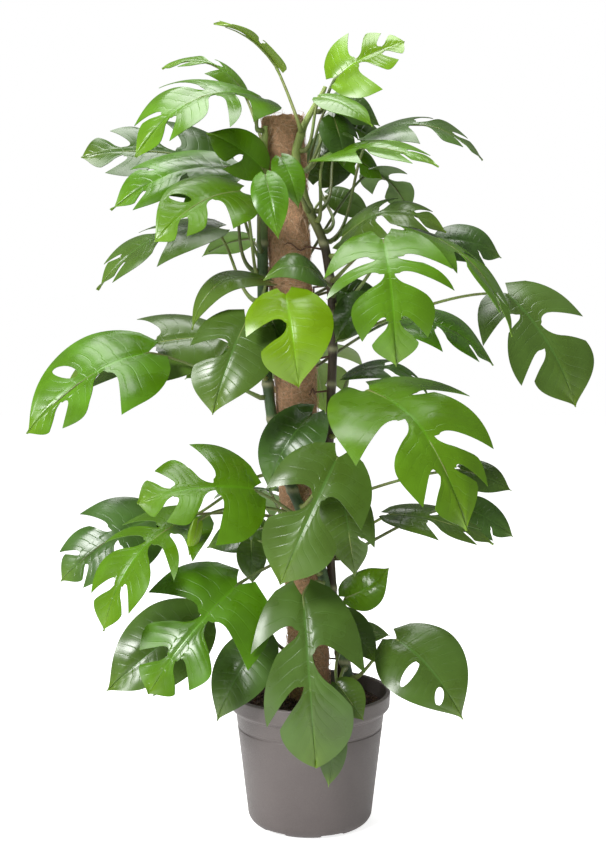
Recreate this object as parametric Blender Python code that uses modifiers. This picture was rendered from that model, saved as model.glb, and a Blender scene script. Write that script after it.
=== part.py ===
"""A mini monstera climbing a coir pole in a plastic pot: pot, soil, pole, three vines and their leaves.

Metres, +Z up. The origin is the centre of the pot's flat underside, and -Y is the plant's front.
Heights of the plant are measured from the pot's rim, so the plant rides up and down with the pot.
"""

import math

import bmesh
import bpy
from mathutils import Matrix, Quaternion, Vector

# ---- Driving dimensions -------------------------------------------------------------------------

GAP = 0.0003  # between pieces that touch

# Pot
POT_HEIGHT = 0.140
RIM_RADIUS = 0.085
LIP_HEIGHT = 0.022
LIP_STEP = 0.0065  # how far the lip stands out from the wall below it
BASE_RADIUS = 0.066
BASE_ROUND = 0.012
POT_WALL = 0.0022
LIP_TOP_WIDTH = 0.0045
LIP_EDGE = 0.004  # height of the rounding at the lip's inner edge
LIP_ROUND = 0.0022  # at its outer edge
LIP_SHOULDER = 0.008  # height over which the lip runs back to the wall
LIP_DRAFT = 0.0006  # how much narrower the lip is at its shoulder than at the rim
FLOOR_THICKNESS = 0.0055
GROOVE_DEPTH = 0.0008
GROOVE_WIDTH = 0.004
GROOVE_DROP = 0.012  # below the lip's foot
POT_STEPS = 36
CORNER_STEPS = 2
NOTCHES = 6
NOTCH_WIDTH = 0.027
NOTCH_HEIGHT = 0.004
NOTCH_REACH = 0.014
DRAIN_RADIUS = 0.0045
FIRST_NOTCH = -67  # bearing in degrees of the notch nearest the front

# Soil
SOIL_DROP = 0.015  # below the rim, at the pot's wall
SOIL_MOUND = 0.007

# Pole
POLE_RADIUS = 0.0225
CORE_RADIUS = 0.008
POLE_TOP = 0.597  # above the rim
POLE_FOOT = FLOOR_THICKNESS + 0.004 - POT_HEIGHT  # below the rim
CORE_SHOWS = 0.006  # the core stops this far under the top of the coir
POLE_LEAN = 2.7  # degrees, towards -X
POLE_STEPS = 20

# Vines and leaves
FRONT_VINE_RADIUS = 0.0058
RIGHT_VINE_RADIUS = 0.0048
BACK_VINE_RADIUS = 0.0048
VINE_SINK = 0.035  # how deep a vine's foot goes into the soil
PETIOLE_RADIUS = 0.0019
BLADE_THICKNESS = 0.0012
SLIT_COLUMNS = 6  # grid columns along the midrib of a slit blade
WHOLE_COLUMNS = 4

TAUPE = (0.19, 0.16, 0.152, 1)
SOIL_BROWN = (0.05, 0.025, 0.018, 1)
COIR_BROWN = (0.16, 0.07, 0.045, 1)
WOOD = (0.35, 0.24, 0.14, 1)
VINE_GREEN = (0.06, 0.09, 0.035, 1)
VINE_BROWN = (0.06, 0.04, 0.03, 1)
SHADES = {
    "young": (0.16, 0.36, 0.01, 1),
    "fresh": (0.07, 0.22, 0.01, 1),
    "mature": (0.06, 0.15, 0.05, 1),
    "shaded": (0.02, 0.07, 0.012, 1),
}

# ---- Scene helpers ------------------------------------------------------------------------------


def start_scene():
    for obj in list(bpy.data.objects):
        bpy.data.objects.remove(obj, do_unlink=True)
    parts = bpy.data.collections.new("mini_monstera")
    helpers = bpy.data.collections.new("helpers")
    for collection in (parts, helpers):
        bpy.context.scene.collection.children.link(collection)
    return parts, helpers


PARTS, HELPERS = start_scene()


def material(name, colour, roughness, metallic=0.0):
    made = bpy.data.materials.new(name)
    made.use_nodes = True
    shader = made.node_tree.nodes["Principled BSDF"]
    shader.inputs["Base Color"].default_value = colour
    shader.inputs["Roughness"].default_value = roughness
    shader.inputs["Metallic"].default_value = metallic
    return made


def add_mesh(name, mesh, collection, finish=None):
    obj = bpy.data.objects.new(name, mesh)
    collection.objects.link(obj)
    if finish:
        mesh.materials.clear()
        mesh.materials.append(finish)
    if collection is HELPERS:
        obj.hide_render = True
        obj.display_type = "WIRE"
    return obj


def from_bmesh(name, bm, collection, finish=None):
    mesh = bpy.data.meshes.new(name)
    bm.to_mesh(mesh)
    bm.free()
    return add_mesh(name, mesh, collection, finish)


def evaluated_mesh(obj):
    graph = bpy.context.evaluated_depsgraph_get()
    return bpy.data.meshes.new_from_object(obj.evaluated_get(graph))


def boolean(obj, other, operation):
    cut = obj.modifiers.new(operation.lower(), "BOOLEAN")
    cut.operation = operation
    cut.object = other
    cut.solver = "EXACT"


def shade_smooth(obj, degrees=40):
    obj.data.shade_smooth()
    obj.data.set_sharp_from_angle(angle=math.radians(degrees))


def turned(name, profile, steps, collection, finish=None, closed=False):
    """A profile of (radius, height) points, run down its outer side, turned about Z."""
    mesh = bpy.data.meshes.new(name)
    points = [(radius, 0, height) for radius, height in profile]
    edges = [(i, i + 1) for i in range(len(points) - 1)]
    if closed:
        edges.append((len(points) - 1, 0))
    mesh.from_pydata(points, edges, [])
    obj = add_mesh(name, mesh, collection, finish)
    screw = obj.modifiers.new("turn", "SCREW")
    screw.steps = screw.render_steps = steps
    screw.use_merge_vertices = True
    screw.merge_threshold = 0.00001
    return obj


def tube(name, points, radii, sides=3, collection=None, finish=None):
    """A round tube through points, closed at both ends, as a welded mesh."""
    curve = bpy.data.curves.new(name, "CURVE")
    curve.dimensions = "3D"
    curve.bevel_depth = 1.0
    curve.bevel_resolution = sides
    curve.use_fill_caps = True
    spline = curve.splines.new("POLY")
    spline.points.add(len(points) - 1)
    for place, point, radius in zip(spline.points, points, radii):
        place.co = (*point, 1)
        place.radius = radius
    guide = bpy.data.objects.new(name + "_guide", curve)
    HELPERS.objects.link(guide)
    mesh = evaluated_mesh(guide)
    bpy.data.objects.remove(guide)
    bm = bmesh.new()
    bm.from_mesh(mesh)
    bmesh.ops.remove_doubles(bm, verts=bm.verts, dist=0.00001)
    bmesh.ops.recalc_face_normals(bm, faces=bm.faces)
    return from_bmesh(name, bm, collection or PARTS, finish)


def arc(centre, radius, start, end, count):
    """Points of (radius, height) on an arc, angles in degrees from +X."""
    steps = [math.radians(start + (end - start) * i / count) for i in range(count + 1)]
    return [(centre[0] + radius * math.cos(a), centre[1] + radius * math.sin(a)) for a in steps]


# ---- Pot ----------------------------------------------------------------------------------------


def wall_radius(height):
    """Outer radius of the pot's wall, which tapers straight from the lip's foot to the base."""
    top = POT_HEIGHT - LIP_HEIGHT
    share = (height - BASE_ROUND) / (top - BASE_ROUND)
    return BASE_RADIUS + (RIM_RADIUS - LIP_STEP - BASE_RADIUS) * share


def inner_radius(height):
    """Radius of the pot's inside, which follows the wall up to the lip's foot and the lip above it."""
    foot, edge = POT_HEIGHT - LIP_HEIGHT, POT_HEIGHT - LIP_EDGE
    if height <= foot:
        return wall_radius(height) - POT_WALL
    low, high = inner_radius(foot), RIM_RADIUS - LIP_TOP_WIDTH
    return low + (high - low) * (height - foot) / (edge - foot)


def pot_profile():
    lip_foot = POT_HEIGHT - LIP_HEIGHT
    corner = BASE_ROUND - POT_WALL
    inside = [(0, FLOOR_THICKNESS)]
    inside += arc(
        (inner_radius(FLOOR_THICKNESS + corner) - corner, FLOOR_THICKNESS + corner),
        corner, -90, 0, CORNER_STEPS,
    )
    edge = POT_HEIGHT - LIP_EDGE
    inside += [(inner_radius(lip_foot), lip_foot), (inner_radius(edge), edge)]
    small = LIP_EDGE / 2
    rim = arc((inner_radius(edge) + small, POT_HEIGHT - small), small, 180, 90, 2)
    rim += arc((RIM_RADIUS - LIP_ROUND, POT_HEIGHT - LIP_ROUND), LIP_ROUND, 90, 0, 3)
    band_end, band_radius = lip_foot + LIP_SHOULDER, RIM_RADIUS - LIP_DRAFT
    lip = [(band_radius, band_end)]
    lip += arc((band_radius - LIP_STEP * 0.7, band_end), LIP_STEP * 0.7, -20, -80, 3)
    groove = lip_foot - GROOVE_DROP
    wall = [
        (wall_radius(lip_foot), lip_foot - LIP_DRAFT),
        (wall_radius(groove), groove),
        (wall_radius(groove) - GROOVE_DEPTH, groove - GROOVE_WIDTH / 4),
        (wall_radius(groove) - GROOVE_DEPTH, groove - GROOVE_WIDTH * 3 / 4),
        (wall_radius(groove - GROOVE_WIDTH), groove - GROOVE_WIDTH),
    ]
    foot = arc((BASE_RADIUS - BASE_ROUND, BASE_ROUND), BASE_ROUND, 0, -90, 4)
    return inside + rim + lip + wall + foot + [(0, 0)]


def notch_cutter(index):
    """One notch in the pot's bottom edge, with the drain hole that rises from it."""
    bearing = math.radians(FIRST_NOTCH + 360 * index / NOTCHES)
    out = Vector((math.cos(bearing), math.sin(bearing), 0))
    slab = bmesh.new()
    bmesh.ops.create_cube(slab, size=1)
    reach = NOTCH_REACH + 0.01
    middle = BASE_RADIUS + 0.01 - reach / 2
    bmesh.ops.scale(slab, verts=slab.verts, vec=(reach, NOTCH_WIDTH, 2 * NOTCH_HEIGHT))
    bmesh.ops.translate(slab, verts=slab.verts, vec=(middle, 0, 0))
    bmesh.ops.rotate(slab, verts=slab.verts, matrix=Matrix.Rotation(bearing, 3, "Z"))
    notch = from_bmesh(f"notch_cutter_{index}", slab, HELPERS)
    drill = bmesh.new()
    sizes = dict(radius1=DRAIN_RADIUS, radius2=DRAIN_RADIUS, depth=0.04)
    bmesh.ops.create_cone(drill, cap_ends=True, segments=12, **sizes)
    place = out * (BASE_RADIUS - BASE_ROUND) + Vector((0, 0, 0.006))
    bmesh.ops.translate(drill, verts=drill.verts, vec=place)
    hole = from_bmesh(f"drain_cutter_{index}", drill, HELPERS)
    return notch, hole


def make_pot():
    finish = material("pot_plastic", TAUPE, 0.45)
    pot = turned("pot", pot_profile(), POT_STEPS, PARTS, finish)
    for index in range(NOTCHES):
        for cutter in notch_cutter(index):
            boolean(pot, cutter, "DIFFERENCE")


# ---- Pole and vines -----------------------------------------------------------------------------


def pole_axis(up):
    """The pole's axis at a height above the rim."""
    lean = math.tan(math.radians(POLE_LEAN))
    return Vector((-lean * up, 0, POT_HEIGHT + up))


def around_pole(bearing, out, up):
    """A point at a bearing (0 is right, -90 front) and a distance out from the pole's face."""
    angle = math.radians(bearing)
    reach = POLE_RADIUS + out
    return pole_axis(up) + Vector((math.cos(angle), math.sin(angle), 0)) * reach


def lean_with_pole(obj):
    """Leans a piece made upright about the pole's axis at rim height."""
    lean = Matrix.Rotation(-math.radians(POLE_LEAN), 4, "Y")
    obj.matrix_world = Matrix.Translation(pole_axis(0)) @ lean


def make_pole():
    coir = material("coir", COIR_BROWN, 0.95)
    wood = material("stake_wood", WOOD, 0.8)
    foot = POLE_FOOT
    bore = CORE_RADIUS + GAP
    sleeve = turned(
        "coir_pole",
        [(bore, foot), (bore, POLE_TOP), (POLE_RADIUS, POLE_TOP), (POLE_RADIUS, foot)],
        POLE_STEPS,
        PARTS,
        coir,
        closed=True,
    )
    core_top = POLE_TOP - CORE_SHOWS
    core = turned(
        "pole_stake",
        [(0, core_top), (CORE_RADIUS, core_top), (CORE_RADIUS, foot), (0, foot)],
        POLE_STEPS // 2,
        PARTS,
        wood,
    )
    for obj in (sleeve, core):
        lean_with_pole(obj)


class Vine:
    """A climbing stem: its route is (height above the rim, bearing, distance of its side from the pole)."""

    def __init__(self, name, radius, route, colour):
        self.name = name
        self.radius = radius
        self.route = route
        self.colour = colour

    def knot(self, index):
        index = max(0, min(index, len(self.route) - 1))
        return self.route[index]

    def at(self, up):
        """The vine's centre at a height, on a smooth curve through its route."""
        heights = [point[0] for point in self.route]
        up = max(heights[0], min(up, heights[-1]))
        first = max(i for i in range(len(heights) - 1) if heights[i] <= up + 1e-9)
        a, b = self.route[first], self.route[first + 1]
        before, after = self.knot(first - 1), self.knot(first + 2)
        t = (up - a[0]) / (b[0] - a[0])
        bearing, stand = (
            0.5
            * (
                2 * a[k]
                + (b[k] - before[k]) * t
                + (2 * before[k] - 5 * a[k] + 4 * b[k] - after[k]) * t * t
                + (3 * a[k] - before[k] - 3 * b[k] + after[k]) * t * t * t
            )
            for k in (1, 2)
        )
        return around_pole(bearing, max(stand, GAP + 0.0005) + self.radius, up)

    def points(self, spacing):
        low, high = self.route[0][0], self.route[-1][0]
        count = max(4, round((high - low) / spacing))
        return [self.at(low + (high - low) * i / count) for i in range(count + 1)]

    def tube(self, name, extra, collection, finish=None, sides=1, spacing=0.035):
        points = self.points(spacing)
        radii = [self.radius + extra] * len(points)
        if not extra:
            radii[-1] *= 0.45
            radii[-2] *= 0.8
        return tube(name, points, radii, sides, collection, finish)


SOIL_UP = -SOIL_DROP
VINES = {
    "front": Vine(
        "front_vine",
        FRONT_VINE_RADIUS,
        [
            (SOIL_UP - VINE_SINK, -26, 0.026),
            (SOIL_UP, -28, 0.024),
            (0.05, -34, 0.014),
            (0.10, -46, 0.006),
            (0.17, -74, 0.001),
            (0.26, -138, 0.001),
            (0.37, -172, 0.002),
            (0.46, -158, 0.001),
            (0.54, -140, 0.001),
            (0.585, -128, 0.001),
        ],
        VINE_GREEN,
    ),
    "right": Vine(
        "right_vine",
        RIGHT_VINE_RADIUS,
        [
            (SOIL_UP - VINE_SINK, 28, 0.014),
            (SOIL_UP, 26, 0.012),
            (0.10, 10, 0.002),
            (0.22, -6, 0.002),
            (0.30, -18, 0.010),
            (0.39, -20, 0.017),
            (0.46, -16, 0.012),
            (0.51, -50, 0.003),
            (0.555, -66, 0.001),
            (0.585, -46, 0.003),
            (0.606, -30, 0.011),
            (0.625, -20, 0.020),
        ],
        VINE_BROWN,
    ),
    "back": Vine(
        "back_vine",
        BACK_VINE_RADIUS,
        [
            (SOIL_UP - VINE_SINK, 118, 0.010),
            (SOIL_UP, 116, 0.008),
            (0.12, 100, 0.001),
            (0.28, 84, 0.001),
            (0.42, 110, 0.001),
            (0.56, 88, 0.001),
        ],
        VINE_GREEN,
    ),
}


def make_vines():
    for vine in VINES.values():
        finish = material(vine.name + "_skin", vine.colour, 0.5)
        shade_smooth(vine.tube(vine.name, 0, PARTS, finish))


# ---- Soil ---------------------------------------------------------------------------------------


def make_soil():
    finish = material("potting_soil", SOIL_BROWN, 1.0)
    top = POT_HEIGHT - SOIL_DROP
    low = FLOOR_THICKNESS + GAP
    corner = BASE_ROUND - POT_WALL
    edge = inner_radius(top) - GAP
    mound = [(edge * i / 4, top + SOIL_MOUND * math.cos(math.pi / 2 * i / 4) ** 2) for i in range(5)]
    lip_foot = POT_HEIGHT - LIP_HEIGHT
    side = [(inner_radius(lip_foot) - GAP, lip_foot)] if top > lip_foot else []
    side += arc((inner_radius(low + corner) - GAP - corner, low + corner), corner, 0, -90, CORNER_STEPS)
    soil = turned("soil", mound + side + [(0, low)], POT_STEPS, PARTS, finish)
    hole = bmesh.new()
    bmesh.ops.create_cone(
        hole,
        cap_ends=True,
        segments=POLE_STEPS,
        radius1=POLE_RADIUS + 2 * GAP,
        radius2=POLE_RADIUS + 2 * GAP,
        depth=2 * POT_HEIGHT,
    )
    bmesh.ops.translate(hole, verts=hole.verts, vec=(0, 0, POLE_FOOT - GAP + POT_HEIGHT))
    socket = from_bmesh("pole_socket", hole, HELPERS)
    lean_with_pole(socket)
    boolean(soil, socket, "DIFFERENCE")
    for vine in VINES.values():
        clearance = vine.tube(vine.name + "_socket", 2 * GAP, HELPERS)
        clearance.data.transform(Matrix.Translation((0, 0, -2 * GAP)))
        boolean(soil, clearance, "DIFFERENCE")


# ---- Leaves -------------------------------------------------------------------------------------

# A side's slits, each (step, inner, width, mouth). Steps count sixths of the midrib. Inner is where
# the slit starts, as a share of the way from the midrib to the margin. Width is a share of the blade's
# length, and mouth is the width at the margin as a share of the widest.
DEEP, SHALLOW = 0.18, 0.50
WHOLE = ()
ONE = ((3, SHALLOW, 0.07, 0.9),)
LOW_ONE = ((2, DEEP, 0.13, 1.0),)
LOW_WIDE = ((2, DEEP, 0.18, 1.2),)
TWO = ((2, 0.25, 0.10, 1.0), (4, 0.30, 0.08, 1.0))
WIDE_TWO = ((2, DEEP, 0.15, 1.2), (4, 0.25, 0.12, 1.2))
THREE = ((1, 0.35, 0.06, 0.9), (3, DEEP, 0.10, 1.0), (4, 0.30, 0.08, 1.0))
WIDE_THREE = ((1, 0.30, 0.09, 1.0), (3, DEEP, 0.13, 1.1), (4, 0.25, 0.10, 1.1))
FINGERS = ((1, 0.25, 0.09, 1.1), (2, 0.15, 0.12, 1.3), (4, 0.22, 0.12, 1.2))
FAR_TWO = ((1, 0.20, 0.11, 1.3), (3, 0.20, 0.11, 1.2))
GAPING = ((2, 0.12, 0.22, 1.4),)
GAPING_TWO = ((2, 0.14, 0.18, 1.4), (4, 0.20, 0.14, 1.4))
PIERCED = ((3, 0.20, 0.11, 0),)
PIERCED_TWO = ((2, 0.10, 0.12, 0), (4, 0.12, 0.13, 0))
HOLE_END = 0.80  # share of the way to the margin where a slit with no mouth ends


def hole_rows(slits):
    """The rows a hole needs besides its inner end: one across its middle and one at its outer end."""
    holes = [slit for slit in slits if not slit[3]]
    return {(slit[1] + HOLE_END) / 2 for slit in holes} | {HOLE_END for slit in holes}


class Leaf:
    """One leaf: where its blade starts, where it points, and which way its upper side looks."""

    def __init__(self, name, stem, node, bearing, out, up, blade, face, **looks):
        self.name = name
        self.stem = VINES[stem]
        self.node = node
        self.base = around_pole(bearing, out, up)
        self.blade = Vector(blade)
        self.face = Vector(face)
        self.half_width = looks.get("half_width", 0.36)
        self.arch = looks.get("arch", 0.10)
        self.fold = looks.get("fold", 0.15)
        self.curl = looks.get("curl", 0.55)
        self.twist = looks.get("twist", 0.0)
        self.back = looks.get("back", 0.10)
        self.sweep = looks.get("sweep", 0.09)
        self.right = looks.get("right", TWO)
        self.left = looks.get("left", TWO)
        self.shade = looks.get("shade", "mature")
        self.columns = SLIT_COLUMNS if self.right or self.left else WHOLE_COLUMNS
        slits = self.right + self.left
        self.rows = sorted({0.0, DEEP, 1.0} | {slit[1] for slit in slits} | hole_rows(slits))
        length = self.blade.length
        along = self.blade.normalized()
        self.lift = (self.face - along * self.face.dot(along)).normalized() * self.arch * length

    def midrib(self, share):
        return self.base + self.blade * share + self.lift * 4 * share * (1 - share)

    def axes(self, share):
        """Along the midrib, towards the right half, and out of the upper side."""
        along = (self.blade + self.lift * 4 * (1 - 2 * share)).normalized()
        across = along.cross(self.face).normalized()
        across = Quaternion(along, self.twist * share) @ across
        return along, across, across.cross(along)

    def surface(self, ahead, aside, side):
        """A point of the blade: ahead along the midrib and aside from it, as shares of the length."""
        _, across, upper = self.axes(min(max(ahead, 0), 1))
        length = self.blade.length
        bend = self.curl / self.half_width
        reach, rise = aside, 0.0
        if aside > 0:
            reach = (math.sin(self.fold) - math.sin(self.fold - bend * aside)) / bend
            rise = (math.cos(self.fold - bend * aside) - math.cos(self.fold)) / bend
        return self.midrib(ahead) + (across * side * reach + upper * rise) * length


def fullness(share):
    """Half width of the outline along the blade: heart-shaped at the base, drawn out at the tip."""
    widest = 0.22
    if share < widest:
        return 0.16 + 0.84 * math.sqrt(1 - (1 - share / widest) ** 2)
    return max(0.0, math.cos(math.pi / 2 * (share - widest) / (1 - widest))) ** 1.35


def slit_end(slit):
    """Share of the way to the margin where the slit ends: short of it when it has no mouth."""
    return 1.0 if slit[3] else HOLE_END


def slit_opening(slit, out):
    """Half the slit's width at a distance out from the midrib: round at its inner end."""
    _, inner, width, mouth = slit
    run = (out - inner) / (slit_end(slit) - inner)
    if not 0 < run <= 1:
        return 0.0
    if not mouth:
        return width * math.sqrt(run * (1 - run))
    head = min(run / 0.35, 1)
    return width / 2 * math.sqrt(1 - (1 - head) ** 2) * (1 + (mouth - 1) * run**2)


def blade_place(leaf, slits, along, out):
    """(ahead, aside) of the point at a share of the midrib and a share of the way to the margin."""
    ends = [0.0] + [slit[0] / 6 for slit in slits] + [1.0]
    lobe = max(i for i in range(len(ends) - 1) if ends[i] <= along)
    share = (along - ends[lobe]) / (ends[lobe + 1] - ends[lobe])
    edge_ahead = -leaf.back + (1 + leaf.back) * along**0.78 + leaf.sweep * 4 * along * (1 - along)
    edge_aside = leaf.half_width * fullness(along)
    first, last = lobe == 0, lobe == len(ends) - 2
    if not first and slits[lobe - 1][3]:
        edge_aside *= 1 - (0.22 if last else 0.42) * (1 - share) ** 1.6
        edge_aside *= 1 + (0.16 if last else 0.0) * math.sin(math.pi * share**0.8)
    if not last and slits[lobe][3]:
        edge_aside *= 1 + 0.10 * share**3
        edge_ahead += 0.12 * share**2.5
    bow = 2 * out * (1 - out)
    ahead = (1 - out) ** 2 * along + bow * (along + 0.3 * (edge_ahead - along)) + out**2 * edge_ahead
    aside = bow * 0.5 * edge_aside + out**2 * edge_aside
    if not first:
        ahead += (1 - share) * slit_opening(slits[lobe - 1], out)
    if not last:
        ahead -= share * slit_opening(slits[lobe], out)
    return ahead, aside


def split_slits(grid, slits):
    """Parts the grid, whose corners run from (0, 0) to (1, 1), along each slit."""
    cuts = []
    for slit in slits:
        for edge in grid.edges:
            a, b = (vert.co for vert in edge.verts)
            on_line = abs(a.x - slit[0] / 6) < 1e-4 and abs(b.x - slit[0] / 6) < 1e-4
            if on_line and slit[1] < (a.y + b.y) / 2 < slit_end(slit):
                cuts.append(edge)
    if cuts:
        bmesh.ops.split_edges(grid, edges=cuts)


def half_blade(bm, leaf, slits, side):
    """Adds one half of the blade to bm: a grid, parted along its slits and laid on the leaf's surface."""
    grid = bmesh.new()
    steps = len(leaf.rows) - 1
    bmesh.ops.create_grid(grid, x_segments=leaf.columns, y_segments=steps, size=0.5)
    for vert in grid.verts:
        vert.co = (vert.co.x + 0.5, leaf.rows[round((vert.co.y + 0.5) * steps)], 0)
    split_slits(grid, slits)
    places = {}
    for vert in grid.verts:
        middle = sum(face.calc_center_median().x for face in vert.link_faces) / len(vert.link_faces)
        along = vert.co.x + (1e-5 if middle > vert.co.x else -1e-5)
        places[vert] = blade_place(leaf, slits, min(max(along, 0.0), 1.0), vert.co.y)
    for vert, (ahead, aside) in places.items():
        vert.co = leaf.surface(ahead, aside, side)
    if side < 0:
        bmesh.ops.reverse_faces(grid, faces=grid.faces)
    mesh = bpy.data.meshes.new("half")
    grid.to_mesh(mesh)
    grid.free()
    bm.from_mesh(mesh)
    bpy.data.meshes.remove(mesh)


def make_blade(leaf):
    bm = bmesh.new()
    half_blade(bm, leaf, leaf.right, 1)
    half_blade(bm, leaf, leaf.left, -1)
    bmesh.ops.remove_doubles(bm, verts=bm.verts, dist=0.0003)
    return bm


def petiole_path(leaf, count=4):
    """From the vine's side to the blade, and a little way along under its midrib."""
    centre = leaf.stem.at(leaf.node)
    towards = leaf.base - centre
    level = Vector((towards.x, towards.y, 0)).normalized()
    clear = centre - pole_axis(leaf.node)
    clear = Vector((clear.x, clear.y, 0)).normalized()
    if level.dot(clear) < 0.35:
        level = (level + clear * (0.6 - level.dot(clear))).normalized()
    start = centre + level * (leaf.stem.radius + GAP + 0.0011)
    along, _, upper = leaf.axes(0)
    span = (leaf.base - start).length
    end = leaf.base - upper * 0.0004
    handle_a = start + level * max(0.012, 0.3 * span) + Vector((0, 0, 0.12 * span))
    handle_b = end - (along * 0.5 + (leaf.base - start).normalized() * 0.5) * 0.3 * span
    points = [start, start + level * 0.004]
    for index in range(1, count + 1):
        t = index / count
        points.append(
            (1 - t) ** 3 * points[1]
            + 3 * (1 - t) ** 2 * t * handle_a
            + 3 * (1 - t) * t * t * handle_b
            + t**3 * end
        )
    points.append(leaf.midrib(0.14))
    radii = [PETIOLE_RADIUS * (1.25 - 0.35 * i / (count + 1)) for i in range(count + 2)]
    return points, radii + [0.0004]


def make_leaf(leaf):
    finish = material(leaf.name + "_green", SHADES[leaf.shade], 0.35)
    blade = from_bmesh(leaf.name, make_blade(leaf), PARTS, finish)
    solid = blade.modifiers.new("thickness", "SOLIDIFY")
    solid.thickness = BLADE_THICKNESS
    solid.offset = 0
    points, radii = petiole_path(leaf)
    stalk = tube(leaf.name + "_stalk", points, radii, 1, HELPERS)
    boolean(blade, stalk, "UNION")
    shade_smooth(blade)


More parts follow.
